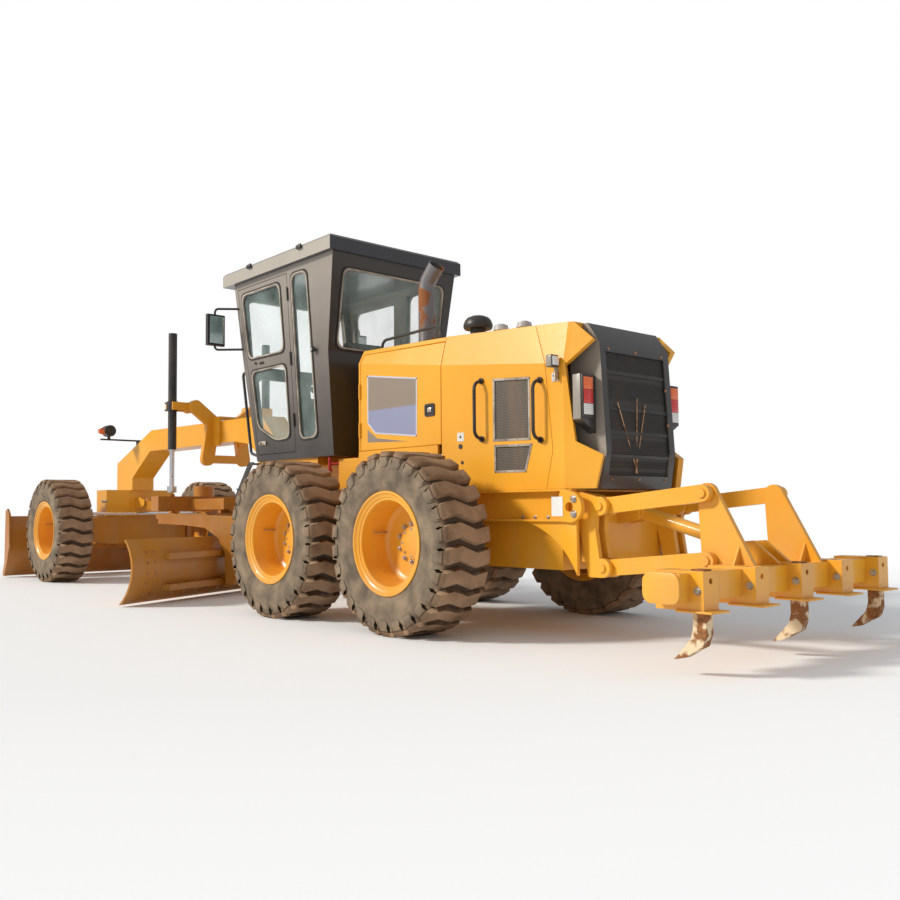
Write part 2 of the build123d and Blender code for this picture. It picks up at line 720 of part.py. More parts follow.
# Outlines in X from the tandem's middle, and Z
door_outline = ((1300, 1420), (1335, 3075), (2220, 3075), (1950, 1420))
quarter_window = ((945, 1540), (1010, 3040), (1262, 3045), (1212, 1530))
door_windows = (
    ((1425, 2365), (1460, 3010), (2145, 3010), (2050, 2365)),
    ((1385, 1560), (1410, 2240), (2020, 2240), (1935, 1690), (1620, 1545)),
)


def cab_hinge(sign):
    foot, top = door_outline[0], door_outline[1]
    return [(tandem_x + x, sign * (cab_half(z) + 8), z) for x, z in (foot, top)]


cab_hinge_places = (294, 863, 1463)
window_z = (2310, 3000)
front_low_z = (1520, 2200)
rear_window_x = (tandem_x + 500, tandem_x + 800)
front_window_x = (tandem_x + 1950, tandem_x + 2400)
with BuildPart() as cab_shell:
    cab_loft(0, 0, 0)
    cab_loft(cab_wall, cab_wall, -1, mode=Mode.SUBTRACT)
    for side, sign in sides:
        for outline in (door_outline, quarter_window):
            side_plate(placed(outline), sign * 800, sign * 500, mode=Mode.SUBTRACT)
    # Rear window, windscreen and the lower front windows
    block(rear_window_x, (-590, 590), window_z, mode=Mode.SUBTRACT)
    block(front_window_x, (-590, 590), window_z, mode=Mode.SUBTRACT)
    for side, sign in sides:
        block(front_window_x, (sign * 60, sign * 550), front_low_z, mode=Mode.SUBTRACT)
        hinge_knuckles(*cab_hinge(sign), cab_hinge_places, 120, 13, False)
finish(cab_shell, "cab_shell")

with BuildPart() as cab_glass:
    cab_loft(glass_depth, 50, 10)
    cab_loft(glass_depth + glass_thickness, 49, 9, mode=Mode.SUBTRACT)
    with BuildPart(mode=Mode.PRIVATE) as cab_openings:
        for side, sign in sides:
            side_plate(placed(quarter_window), sign * 800, sign * 500)
            block(front_window_x, (sign * 60, sign * 550), front_low_z)
        block(rear_window_x, (-590, 590), window_z)
        block(front_window_x, (-590, 590), window_z)
    add(cab_openings.part, mode=Mode.INTERSECT)
finish(cab_glass, "cab_glass")

for side, sign in sides:
    with BuildPart() as cab_door:
        cab_loft(0, 0, 0)
        cab_loft(cab_wall, -1, -1, mode=Mode.SUBTRACT)
        side_plate(shrink(placed(door_outline), door_gap), sign * 800, sign * 500, mode=Mode.INTERSECT)
        for window in door_windows:
            side_plate(placed(window), sign * 800, sign * 500, mode=Mode.SUBTRACT)
        hinge_knuckles(*cab_hinge(sign), cab_hinge_places, 120, 13, True)
    finish(cab_door, f"cab_door_{side}")
    with BuildPart() as door_glass:
        cab_loft(glass_depth, 0, 0)
        cab_loft(glass_depth + glass_thickness, -1, -1, mode=Mode.SUBTRACT)
        with BuildPart(mode=Mode.PRIVATE) as door_openings:
            for window in door_windows:
                side_plate(placed(window), sign * 800, sign * 500)
        add(door_openings.part, mode=Mode.INTERSECT)
    finish(door_glass, f"door_glass_{side}")

with BuildPart() as cab_roof:
    block((roof_rear_x, roof_front_x), (-roof_y, roof_y), (cab_top_z, cab_top_z + roof_height))
    chamfer(cab_roof.edges().group_by(Axis.Z)[-1], 22)
finish(cab_roof, "cab_roof")

seat_x = tandem_x + 1300
with BuildPart() as seat:
    block((seat_x - 200, seat_x + 200), (-190, 190), (cab_floor_z + cab_wall, 1720))
    block((seat_x - 260, seat_x + 250), (-250, 250), (1720, 1850))
    side_plate([(seat_x - 260, 1850), (seat_x - 330, 2480), (seat_x - 220, 2490), (seat_x - 110, 1850)],
               230, -230)
finish(seat, "seat")

with BuildPart() as console:
    side_plate(
        [(tandem_x + 1800, cab_floor_z + cab_wall), (tandem_x + 1800, 1960), (tandem_x + 1900, 2010),
         (tandem_x + 1930, cab_floor_z + cab_wall)],
        150, -150,
    )
    bar((tandem_x + 1840, 0, 1950), (tandem_x + 1740, 0, 2080), 28)
    wheel_plane = Plane(origin=(tandem_x + 1740, 0, 2080), z_dir=(-100, 0, 130))
    with BuildSketch(wheel_plane) as wheel_ring:
        Circle(200)
        Circle(172, mode=Mode.SUBTRACT)
        Rectangle(360, 30)
        Rectangle(30, 360)
    extrude(wheel_ring.sketch, amount=24)
finish(console, "console")

# Lift arms on the gooseneck, with the link bar between their lower ends
arm_pivot = (170, 1905)
arm_disc = (390, lift_yoke_z)
arm_foot = (235, 1478)
saddle_x = (tandem_x + 3560, tandem_x + 3700)
with BuildPart() as lift_saddle:
    block(saddle_x, (-neck_y - 30, -neck_y), (neck_bottom_z - 30, neck_top_z + 20))
    block(saddle_x, (neck_y, neck_y + 30), (neck_bottom_z - 30, neck_top_z + 20))
    block(saddle_x, (-neck_y - 30, neck_y + 30), (neck_top_z, neck_top_z + 30))
    for side, sign in sides:
        arm_plane = Plane((saddle_x[1], 0, 0), x_dir=(0, 1, 0), z_dir=(1, 0, 0))
        for start, end in ((arm_pivot, arm_disc), (arm_pivot, arm_foot)):
            with BuildSketch(arm_plane) as arm:
                for y, z in (start, end):
                    with Locations((sign * y, z)):
                        Circle(75)
                make_hull()
            extrude(arm.sketch, amount=70)
        bar((saddle_x[1], sign * arm_disc[0], arm_disc[1]), (lift_x + 90, sign * arm_disc[0], arm_disc[1]), 62)
        # Yoke arms reach out each side of the lift barrel
        for step in (-1, 1):
            block((lift_x + step * 70, lift_x + step * 90), (sign * 340, sign * (lift_y + 40)),
                  (arm_disc[1] - 45, arm_disc[1] + 45))
        bar((lift_x, sign * arm_disc[0], arm_disc[1]), (lift_x, sign * (lift_y - 62 - seat_gap), arm_disc[1]), 35)
    block((saddle_x[1], saddle_x[1] + 70), (-arm_foot[0], arm_foot[0]), (arm_foot[1] - 45, arm_foot[1] + 45))
    side_plate(placed(neck_outline), neck_y, -neck_y, mode=Mode.SUBTRACT)
finish(lift_saddle, "lift_saddle")

barrel_radius = 48
rod_radius = 27
with BuildPart() as lift_barrels:
    for side, sign in sides:
        y = sign * lift_y
        bar((lift_x, y, lift_barrel_low_z), (lift_x, y, lift_top_z), barrel_radius)
        bar((lift_x, y, lift_barrel_low_z - 1), (lift_x, y, lift_top_z - 30), rod_radius + seat_gap,
            mode=Mode.SUBTRACT)
        with BuildPart(mode=Mode.PRIVATE) as collar:
            bar((lift_x, y, lift_yoke_z - 55), (lift_x, y, lift_yoke_z + 55), 62)
            bar((lift_x, y, lift_yoke_z - 60), (lift_x, y, lift_yoke_z + 60), barrel_radius, mode=Mode.SUBTRACT)
        add(collar.part)
finish(lift_barrels, "lift_barrels")

with BuildPart() as lift_rods:
    for side, sign in sides:
        y = sign * lift_y
        bar((lift_x, y, lift_eye_z - 25), (lift_x, y, lift_top_z - 560), rod_radius)
        bar((lift_x, y, lift_eye_z - 25), (lift_x, y, lift_eye_z + 45), 52)
finish(lift_rods, "lift_rods")

# Drawbar: ball, two diverging beams, the crossbeam and the frame over the circle
crossbeam_z = (885, 1050)
with BuildPart() as drawbar:
    with Locations((ball_x, 0, ball_z)):
        Sphere(ball_radius)
    block((ball_x - 120, ball_x), (-35, 35), (ball_z - 35, ball_z + 35))
    for side, sign in sides:
        flat_plate(
            [(ball_x - 60, sign * 50), (ball_x - 200, 0), (ball_x - 420, 0), (tandem_x + 4400, sign * 300),
             (tandem_x + 3000, sign * 300), (tandem_x + 3000, sign * 430), (tandem_x + 4450, sign * 430)],
            crossbeam_z[0] + 15, crossbeam_z[1] - 30,
        )
    block((tandem_x + 3760, tandem_x + 3940), (-820, 820), crossbeam_z)
    block((tandem_x + 3000, tandem_x + 3120), (-430, 430), (crossbeam_z[0] + 15, crossbeam_z[1] - 30))
    block((tandem_x + 4330, tandem_x + 4450), (-430, 430), (crossbeam_z[0] + 15, crossbeam_z[1] - 30))
    # Circle drive gearbox
    bar((tandem_x + 4250, 0, circle_top_z + 10), (tandem_x + 4250, 0, 1180), 120)
    # Ball studs under the lift rods, and shoes down to the circle
    for side, sign in sides:
        bar((lift_x, sign * lift_y, crossbeam_z[1]), (lift_x, sign * lift_y, lift_eye_z - 45), 34)
        for shoe_x in (circle_x - 620, circle_x + 560):
            block((shoe_x, shoe_x + 60), (sign * 310, sign * 420), (circle_top_z + seat_gap, crossbeam_z[0] + 20))
finish(drawbar, "drawbar")

# Circle, arms, blade carrier and moldboard are made square to the machine, then turned
circle_turn = Location((circle_x, 0, 0), (0, 0, blade_angle))
with BuildPart() as circle_square:
    with BuildSketch(Plane.XY.offset(circle_top_z - circle_thickness)) as ring:
        Circle(circle_radius)
        Circle(circle_bore, mode=Mode.SUBTRACT)
    extrude(ring.sketch, amount=circle_thickness)
    for side, sign in sides:
        side_plate(
            [
                (290, circle_top_z), (290, 750), (-60, 735), (-330, 705), (-500, 600), (-585, 440),
                (-600, 130), (-700, 120), (-750, 300), (-735, 760), (-700, circle_top_z - 30),
            ],
            sign * arm_y, sign * (arm_y + arm_thickness),
        )
        for foot_x in (-330, 80):
            block((foot_x, foot_x + 200), (sign * 700, sign * (arm_y + 10)),
                  (circle_top_z - circle_thickness, circle_top_z - seat_gap))
with BuildPart() as circle:
    add(circle_square.part.moved(circle_turn))
finish(circle, "circle")

tip_x = -650
tip_z = 190
rail_z = (150, 450)
rail_half = 1500
section_depth = 110
edge_top_x = -edge_setback - 59


def blade_arc(shift):
    # Back (shift 0) and face (shift one plate) of the moldboard's section
    low = (-edge_setback + shift, edge_clearance)
    high = (edge_top_x + shift, edge_clearance + blade_height)
    middle = ((low[0] + high[0]) / 2 - section_depth, (low[1] + high[1]) / 2)
    return low, middle, high


back_x = blade_arc(0)[1][0]
blade_shift = -(back_x - edge_setback + blade_plate) / 2 * tan(radians(blade_angle))
end_plane = Plane((0, blade_shift + blade_length / 2, 0), x_dir=(1, 0, 0), z_dir=(0, -1, 0))
with BuildPart() as moldboard_square:
    # Slide rails, trimmed to end inside the plate
    for z in rail_z:
        block((back_x - 50, back_x + 90), (blade_shift - rail_half, blade_shift + rail_half), (z - 30, z + 30))
    with BuildSketch(end_plane) as ahead_of_blade:
        with BuildLine():
            trim = ThreePointArc(*blade_arc(blade_plate / 2))
            Polyline(trim @ 0, (0, edge_clearance), (0, edge_clearance + blade_height), trim @ 1)
        make_face()
    extrude(ahead_of_blade.sketch, amount=blade_length, mode=Mode.SUBTRACT)
    with BuildSketch(end_plane) as section:
        with BuildLine():
            back = ThreePointArc(*blade_arc(0))
            face = ThreePointArc(*blade_arc(blade_plate))
            Line(back @ 0, face @ 0)
            Line(back @ 1, face @ 1)
        make_face()
    extrude(section.sketch, amount=blade_length)
with BuildPart() as moldboard:
    add(moldboard_square.part.moved(circle_turn))
finish(moldboard, "moldboard")

with BuildPart() as carrier_square:
    for side, sign in sides:
        low, high = sign * (arm_y - side_gap - 35), sign * (arm_y - side_gap)
        side_plate([(back_x - 62, 90), (tip_x - 50, 120), (tip_x - 50, 260), (back_x - 62, 520)], low, high)
        bar((tip_x, low, tip_z), (tip_x, sign * (arm_y - seat_gap), tip_z), 45)
        for z in rail_z:
            block((back_x - 62, back_x - side_gap), (sign * 640, high), (z + 30 + seat_gap, z + 52))
            block((back_x - 62, back_x - side_gap), (sign * 640, high), (z - 52, z - 30 - side_gap))
            block((back_x - 75, back_x - 50 - side_gap), (sign * 640, high), (z - 52, z + 52))
with BuildPart() as blade_carrier:
    add(carrier_square.part.moved(circle_turn))
finish(blade_carrier, "blade_carrier")

# Ripper: parallel links, beam with uprights and pockets, shanks, and the cylinder
low_front = (bracket_x, ripper_low_z)
low_rear = (bracket_x - link_reach, ripper_low_z + link_rise)
high_rear = (bracket_top[0] - link_reach, bracket_top[1] + link_rise)
pin_radius = 28
with BuildPart() as ripper_lower_links:
    for side, sign in sides:
        y_span = (sign * (link_y + link_thickness), sign * link_y)
        link_plate([(*low_front, 52), (*low_rear, 52)], *y_span)
        for x, z in (low_front, low_rear):
            bar((x, sign * (link_y - 1), z), (x, sign * (link_y + link_thickness + 1), z),
                pin_radius + seat_gap, mode=Mode.SUBTRACT)
finish(ripper_lower_links, "ripper_lower_links")

with BuildPart() as ripper_upper_links:
    for side, sign in sides:
        y_span = (sign * (link_y + link_thickness), sign * link_y)
        link_plate([(*bracket_top, 52), (*high_rear, 52)], *y_span)
        for x, z in (bracket_top, high_rear):
            bar((x, sign * (link_y - 1), z), (x, sign * (link_y + link_thickness + 1), z),
                pin_radius + seat_gap, mode=Mode.SUBTRACT)
finish(ripper_upper_links, "ripper_upper_links")

beam_x = (tandem_x - 3070, tandem_x - 2880)
beam_z = (395, 545)
pocket_step = shank_y / 2
pocket_half = 33
shank_x = ripper_rear_x + 55
eye_point = (tandem_x - 2800, 630)
with BuildPart() as ripper_beam:
    block(beam_x, (-beam_half, beam_half), beam_z)
    for side, sign in sides:
        # Upright plate with both link pins
        side_plate(
            [
                (high_rear[0] + 60, high_rear[1] + 10), (high_rear[0] - 50, high_rear[1] + 40),
                (beam_x[0] + 20, beam_z[1]), (beam_x[0] + 20, beam_z[1] - 30), (low_rear[0] - 20, low_rear[1] - 62),
                (low_rear[0] + 55, low_rear[1] - 20),
            ],
            sign * (link_y - side_gap), sign * (link_y - side_gap - 35),
        )
        for x, z in (low_rear, high_rear):
            bar((x, sign * (link_y - side_gap - 35), z), (x, sign * (link_y - side_gap), z), 62)
            bar((x, sign * (link_y - side_gap), z), (x, sign * (link_y + link_thickness + 12), z), pin_radius)
        # Ears of the cylinder's clevis
        side_plate(
            [(eye_point[0] + 55, eye_point[1] + 45), (eye_point[0] - 60, eye_point[1] + 55),
             (beam_x[0] + 40, beam_z[1]), (beam_x[1] - 10, beam_z[1] - 60), (beam_x[1] - 10, beam_z[1]),
             (eye_point[0] + 55, eye_point[1] - 45)],
            sign * 80, sign * 50,
        )
    for pocket in range(-2, 3):
        y = pocket * pocket_step
        block((ripper_rear_x, beam_x[1] + 20), (y - 70, y + 70), (beam_z[0] - 45, beam_z[1] + 12))
        block((shank_x - 43, shank_x + 43), (y - pocket_half, y + pocket_half),
              (beam_z[0] - 60, beam_z[1] + 20), mode=Mode.SUBTRACT)
        bar((ripper_rear_x - 1, y, 505), (shank_x, y, 505), 16, mode=Mode.SUBTRACT)
finish(ripper_beam, "ripper_beam")

with BuildPart() as ripper_shanks:
    for y in (-shank_y, 0, shank_y):
        side_plate(
            [
                (shank_x + 40, beam_z[1] + 20), (shank_x - 40, beam_z[1] + 20), (shank_x - 42, 230),
                (shank_x - 20, 165), (shank_x + 100, 95), (shank_x + 155, 83), (shank_x + 120, 120),
                (shank_x + 50, 200), (shank_x + 35, 260),
            ],
            y + pocket_half - seat_gap, y - pocket_half + seat_gap,
        )
finish(ripper_shanks, "ripper_shanks")

run = Vector(eye_point[0] - cylinder_base[0], 0, eye_point[1] - cylinder_base[1])
ahead = run.normalized()
base = Vector(cylinder_base[0], 0, cylinder_base[1])
with BuildPart() as ripper_barrel:
    bar(base + ahead * 20, base + ahead * 500, 46)
    bar(base + ahead * 70, base + ahead * 501, 27 + seat_gap, mode=Mode.SUBTRACT)
    base_half = 65 - seat_gap
    bar((cylinder_base[0], -base_half, cylinder_base[1]), (cylinder_base[0], base_half, cylinder_base[1]), 52)
finish(ripper_barrel, "ripper_barrel")

with BuildPart() as ripper_rod:
    bar(base + ahead * 260, base + run - ahead * 30, 27)
    bar((eye_point[0], -40, eye_point[1]), (eye_point[0], 40, eye_point[1]), 42)
finish(ripper_rod, "ripper_rod")

# Dozer blade with its push arms, and the lift cylinder
dozer_top_x = dozer_front_x - 90
dozer_cylinder_top = (head_front_x + 90, 1160)
dozer_eye = (tandem_x + 6930, 640)
with BuildPart() as dozer_blade:
    with BuildSketch(Plane((0, dozer_half, 0), x_dir=(1, 0, 0), z_dir=(0, -1, 0))) as section:
        with BuildLine():
            back = ThreePointArc((dozer_front_x - 20, edge_clearance), (dozer_front_x - 230, 430),
                                 (dozer_top_x - 20, dozer_height))
            face = ThreePointArc((dozer_front_x, edge_clearance), (dozer_front_x - 210, 430),
                                 (dozer_top_x, dozer_height))
            Line(back @ 0, face @ 0)
            Line(back @ 1, face @ 1)
        make_face()
    extrude(section.sketch, amount=2 * dozer_half)
    for side, sign in sides:
        side_plate(
            [(dozer_front_x, edge_clearance), (dozer_front_x, 80), (dozer_front_x - 60, 200),
             (dozer_top_x + 10, 900), (dozer_top_x - 60, 930), (dozer_top_x - 140, 860), (dozer_front_x - 260, 430),
             (dozer_front_x - 60, edge_clearance)],
            sign * dozer_half, sign * (dozer_half - 25),
        )
        link_plate([(dozer_pivot_x, dozer_pivot_z, 70), (dozer_front_x - 290, 430, 70)],
                   sign * (245 + side_gap), sign * 290)
        bar((dozer_pivot_x, sign * 240, dozer_pivot_z), (dozer_pivot_x, sign * 300, dozer_pivot_z),
            30 + seat_gap, mode=Mode.SUBTRACT)
        block((dozer_front_x - 330, dozer_front_x - 215), (sign * 250, sign * 290), (330, 530))
    block((dozer_front_x - 330, dozer_front_x - 215), (-300, 300), (360, 500))
    for side, sign in sides:
        side_plate([(dozer_eye[0] - 45, dozer_eye[1] - 10), (dozer_eye[0] - 45, dozer_eye[1] + 45),
                    (dozer_eye[0] + 45, dozer_eye[1] + 45), (dozer_front_x - 300, 500),
                    (dozer_front_x - 300, 380), (dozer_front_x - 330, 380)], sign * 75, sign * 50)
finish(dozer_blade, "dozer_blade")

run = Vector(dozer_eye[0] - dozer_cylinder_top[0], 0, dozer_eye[1] - dozer_cylinder_top[1])
ahead = run.normalized()
base = Vector(dozer_cylinder_top[0], 0, dozer_cylinder_top[1])
with BuildPart() as dozer_barrel:
    bar(base + ahead * 30, base + ahead * 400, 45)
    bar(base + ahead * 50, base + ahead * 401, 25 + seat_gap, mode=Mode.SUBTRACT)
    top_x, top_z = dozer_cylinder_top
    bar((top_x, seat_gap - 60, top_z), (top_x, 60 - seat_gap, top_z), 38)
finish(dozer_barrel, "dozer_barrel")

with BuildPart() as dozer_rod:
    bar(base + ahead * 250, base + run - ahead * 25, 25)
    bar((dozer_eye[0], -40, dozer_eye[1]), (dozer_eye[0], 40, dozer_eye[1]), 34)
finish(dozer_rod, "dozer_rod")

# Steps, grab rails and mirrors on the cab
mirror_x = tandem_x + 2350
step_plate = ((1960, 1355), (2050, 1355), (2300, 1040), (2300, 640), (2260, 640), (2260, 1010), (2100, 1195))
with BuildPart() as steps_and_rails:
    for side, sign in sides:
        for step_y in (sign * 545, sign * 690):
            side_plate(placed(step_plate), step_y, step_y - sign * 10)
        for tread_x, tread_z in ((2130, 1090), (2150, 870), (2150, 650)):
            block((tandem_x + tread_x, tandem_x + tread_x + 150), (sign * 535, sign * 690), (tread_z, tread_z + 15))
        block((tandem_x + 1960, tandem_x + 2050), (sign * 535, sign * 690), (1330, 1345))
        bent_tube([(tandem_x + 2100, sign * 640, 2255), (tandem_x + 2245, sign * 640, 2255),
                   (tandem_x + 2130, sign * 610, 1450), (tandem_x + 1960, sign * 610, 1405)], 14, 35)
        bent_tube([(tandem_x + 2200, sign * 690, 2890), (mirror_x, sign * 900, 2890),
                   (mirror_x, sign * 900, 2480), (tandem_x + 2140, sign * 660, 2480)], 11, 35)
        block((mirror_x - 22, mirror_x + 22), (sign * 800, sign * 990), (2520, 2830))
    cab_loft(0, 0, 0, mode=Mode.SUBTRACT)
    block((tandem_x + 1000, tandem_x + 2020), (-600, 600), (platform_z, cab_floor_z), mode=Mode.SUBTRACT)
finish(steps_and_rails, "steps_and_rails")

# Driving lamps on the gooseneck
lamp_bar_x = tandem_x + 6040
with BuildPart() as front_lamps:
    block((lamp_bar_x - 20, lamp_bar_x + 20), (-560, 560), (1825, 1845))
    block((lamp_bar_x - 20, lamp_bar_x + 20), (-60, 60), (1560, 1825))
    side_plate(placed(neck_outline), neck_y, -neck_y, mode=Mode.SUBTRACT)
    for side, sign in sides:
        bar((lamp_bar_x - 60, sign * 450, 1950), (lamp_bar_x + 70, sign * 450, 1950), 75)
        block((lamp_bar_x - 15, lamp_bar_x + 15), (sign * 435, sign * 465), (1845, 1890))
        bar((lamp_bar_x - 20, sign * 530, 1950), (lamp_bar_x + 40, sign * 530, 1950), 38)
finish(front_lamps, "front_lamps")
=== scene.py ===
from math import cos, hypot, pi, radians, sin

import bmesh
import bpy
from mathutils import Matrix, Vector
from mathutils.bvhtree import BVHTree
from mathutils.geometry import interpolate_bezier


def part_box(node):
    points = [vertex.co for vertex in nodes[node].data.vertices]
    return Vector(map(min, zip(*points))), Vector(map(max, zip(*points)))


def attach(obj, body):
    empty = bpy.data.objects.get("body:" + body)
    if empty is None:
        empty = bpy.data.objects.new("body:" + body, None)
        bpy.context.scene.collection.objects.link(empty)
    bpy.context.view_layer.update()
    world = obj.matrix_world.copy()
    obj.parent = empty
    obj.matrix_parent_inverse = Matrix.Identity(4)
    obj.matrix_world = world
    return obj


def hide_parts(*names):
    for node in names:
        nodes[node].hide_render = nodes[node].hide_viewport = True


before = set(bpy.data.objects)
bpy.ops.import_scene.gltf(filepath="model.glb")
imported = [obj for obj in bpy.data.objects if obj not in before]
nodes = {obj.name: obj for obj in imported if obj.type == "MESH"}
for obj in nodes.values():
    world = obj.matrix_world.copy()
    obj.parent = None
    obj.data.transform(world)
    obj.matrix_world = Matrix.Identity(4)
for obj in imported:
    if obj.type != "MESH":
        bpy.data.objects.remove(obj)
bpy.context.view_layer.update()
scene = bpy.context.scene
print("frame loaded:", len(nodes), "nodes")

# camera at the photo's place, floor and soft light
camera = {"place": (-7.9615, 5.3691, 0.8811), "right": (-0.6369, -0.7709, -0.0056),
          "up": (-0.0452, 0.0300, 0.9985), "ahead": (0.7696, -0.6363, 0.0540),
          "lens": 37.25, "shift": (0.0615, 0.0110)}
light = {"sunFrom": (0.62, 1.0, 0.72), "sunStrength": 2.9, "sunAngle": 9.0, "sunColour": (1.0, 0.94, 0.84),
         "skyStrength": 0.50, "floorSize": 60.0, "floorColour": (0.90, 0.93, 0.97),
         "fadeFrom": 5.0, "fadeTo": 10.0}

# the two sides of the machine, left first
sides = (("left", 1), ("right", -1))
tandemX = -2.115


class Signal:
    def __init__(self, finish, socket):
        self.finish = finish
        self.socket = socket

    def apply(self, operation, *values):
        return self.finish.node("ShaderNodeMath", {"operation": operation}, dict(enumerate(values)))

    def __add__(self, other):
        return self.apply("ADD", self, other)

    def __radd__(self, other):
        return self.apply("ADD", other, self)

    def __mul__(self, other):
        return self.apply("MULTIPLY", self, other)

    def __rmul__(self, other):
        return self.apply("MULTIPLY", other, self)


class Finish:
    def __init__(self, name, **settings):
        self.material = bpy.data.materials.new(name)
        self.material.use_nodes = True
        self.tree = self.material.node_tree
        self.shader = self.tree.nodes["Principled BSDF"]
        for socket, value in settings.items():
            self.feed(self.shader, socket.replace("_", " "), value)

    def feed(self, owner, key, value):
        if isinstance(value, Signal):
            self.tree.links.new(value.socket, owner.inputs[key])
        elif isinstance(value, tuple) and owner.inputs[key].type == "RGBA":
            owner.inputs[key].default_value = (*value[:3], 1.0)
        else:
            owner.inputs[key].default_value = value

    def node(self, kind, settings=None, values=None, output=0):
        made = self.tree.nodes.new(kind)
        for key, value in (settings or {}).items():
            if key == "stops":
                while len(made.color_ramp.elements) < len(value):
                    made.color_ramp.elements.new(1.0)
                for element, (position, colour) in zip(made.color_ramp.elements, value):
                    element.position = position
                    element.color = (*colour, 1.0)
            else:
                setattr(made, key, value)
        for key, value in (values or {}).items():
            self.feed(made, key, value)
        return Signal(self, made.outputs[output])

    def place(self, stretch=(1.0, 1.0, 1.0), turn=(0.0, 0.0, 0.0)):
        spot = self.node("ShaderNodeTexCoord", output="Object")
        return self.node("ShaderNodeMapping", None, {"Vector": spot, "Scale": stretch, "Rotation": turn})

    def noise(self, scale, detail=3.0, stretch=(1.0, 1.0, 1.0), turn=(0.0, 0.0, 0.0)):
        return self.node("ShaderNodeTexNoise", None, {"Vector": self.place(stretch, turn), "Scale": scale,
                                                      "Detail": detail})

    def axis(self, which, source=None):
        spot = source or self.node("ShaderNodeTexCoord", output="Object")
        return self.node("ShaderNodeSeparateXYZ", None, {"Vector": spot}, output=which)

    def upward(self):
        return self.axis(2, self.node("ShaderNodeTexCoord", output="Normal"))

    def spread(self, value, low, high, start=0.0, end=1.0):
        values = {"Value": value, "From Min": low, "From Max": high, "To Min": start, "To Max": end}
        return self.node("ShaderNodeMapRange", {"clamp": True}, values)

    def blend(self, share, first, second):
        return self.node("ShaderNodeMix", {"data_type": "RGBA"}, {0: share, 6: first, 7: second}, output=2)

    def bump(self, height, distance, strength=1.0, normal=None):
        values = {"Height": height, "Distance": distance, "Strength": strength}
        if normal:
            values["Normal"] = normal
        return self.node("ShaderNodeBump", None, values)

    def colour(self, value):
        self.feed(self.shader, "Base Color", value)

    def rough(self, value):
        self.feed(self.shader, "Roughness", value)

    def normal(self, value):
        self.feed(self.shader, "Normal", value)


# sprayed enamel with slow shade changes, dust on upward and low faces and chalky scuffs
def paintFinish(name, base, deep, dust, dustShare, roughness=0.30, grain=0.0004, coat=0.25, edge=0.004):
    paint = Finish(name, Coat_Weight=coat, Coat_Roughness=0.12)
    cloud = paint.noise(0.9, 4.0)
    speck = paint.noise(38.0, 5.0)
    streak = paint.noise(5.0, 4.0, stretch=(1.0, 1.0, 0.18))
    tone = paint.blend(paint.spread(cloud, 0.38, 0.62), deep, base)
    low = paint.spread(paint.axis(2), 1.25, 0.35)
    settled = paint.spread(paint.upward(), 0.55, 0.95) * paint.spread(speck, 0.30, 0.62)
    splash = low * paint.spread(streak, 0.42, 0.66)
    cover = paint.spread(settled * 0.7 + splash, 0.0, 1.0, 0.0, dustShare)
    paint.colour(paint.blend(cover, tone, dust))
    paint.rough(roughness + 0.55 * cover + 0.10 * paint.spread(speck, 0.35, 0.7))
    rounded = paint.node("ShaderNodeBevel", {"samples": 4}, {"Radius": edge})
    paint.normal(paint.bump(speck, grain, 0.6, rounded))
    return paint.material


# plain moulded or coated surface with fine grain
def plainFinish(name, base, second, roughness, metallic=0.0, scale=60.0, grain=0.0003):
    plain = Finish(name, Metallic=metallic)
    fine = plain.noise(scale, 4.0)
    slow = plain.noise(scale / 14, 3.0)
    plain.colour(plain.blend(plain.spread(slow, 0.4, 0.65), base, second))
    plain.rough(roughness + 0.14 * fine)
    plain.normal(plain.bump(fine, grain, 0.5))
    return plain.material


# rubber: painted shade darkens the grooves, brown dust on lugs and sidewall
def rubberFinish(name):
    rubber = Finish(name, Specular_IOR_Level=0.3)
    reach = rubber.node("ShaderNodeAttribute", {"attribute_name": "fromAxle"}, None, output="Fac")
    patch = rubber.noise(7.0, 5.0)
    grit = rubber.noise(90.0, 4.0)
    # painted shade at the groove floors between the lugs
    floor = rubber.spread(reach, 0.6185, 0.6135) * rubber.spread(reach, 0.603, 0.611)
    wall = rubber.blend(rubber.spread(patch, 0.35, 0.66), (0.125, 0.098, 0.072), (0.285, 0.215, 0.145))
    lug = rubber.blend(rubber.spread(patch, 0.30, 0.60), (0.215, 0.132, 0.076), (0.365, 0.232, 0.140))
    tone = rubber.blend(rubber.spread(reach, 0.585, 0.62), wall, lug)
    tone = rubber.blend(floor * 0.85, tone, (0.050, 0.036, 0.026))
    speckled = rubber.blend(rubber.spread(grit, 0.52, 0.75, 0.0, 0.45), tone, (0.10, 0.075, 0.055))
    rubber.colour(speckled)
    rubber.rough(0.78 + 0.16 * grit)
    rubber.normal(rubber.bump(grit, 0.0012, 0.7))
    return rubber.material


# steel that carries rust in patches
def rustFinish(name, steel, rust, amount, roughness=0.42, metallic=0.7, scale=9.0):
    metal = Finish(name)
    patch = metal.noise(scale, 6.0)
    grit = metal.noise(120.0, 4.0)
    cover = metal.spread(patch, 0.62 - 0.3 * amount, 0.70 - 0.3 * amount)
    darker = metal.blend(metal.spread(grit, 0.4, 0.65), rust, tuple(0.45 * c for c in rust))
    metal.colour(metal.blend(cover, steel, darker))
    metal.feed(metal.shader, "Metallic", metal.spread(cover, 0.0, 1.0, metallic, 0.0))
    metal.rough(roughness + 0.40 * cover + 0.1 * grit)
    metal.normal(metal.bump(grit + patch, 0.0009, 0.5))
    return metal.material
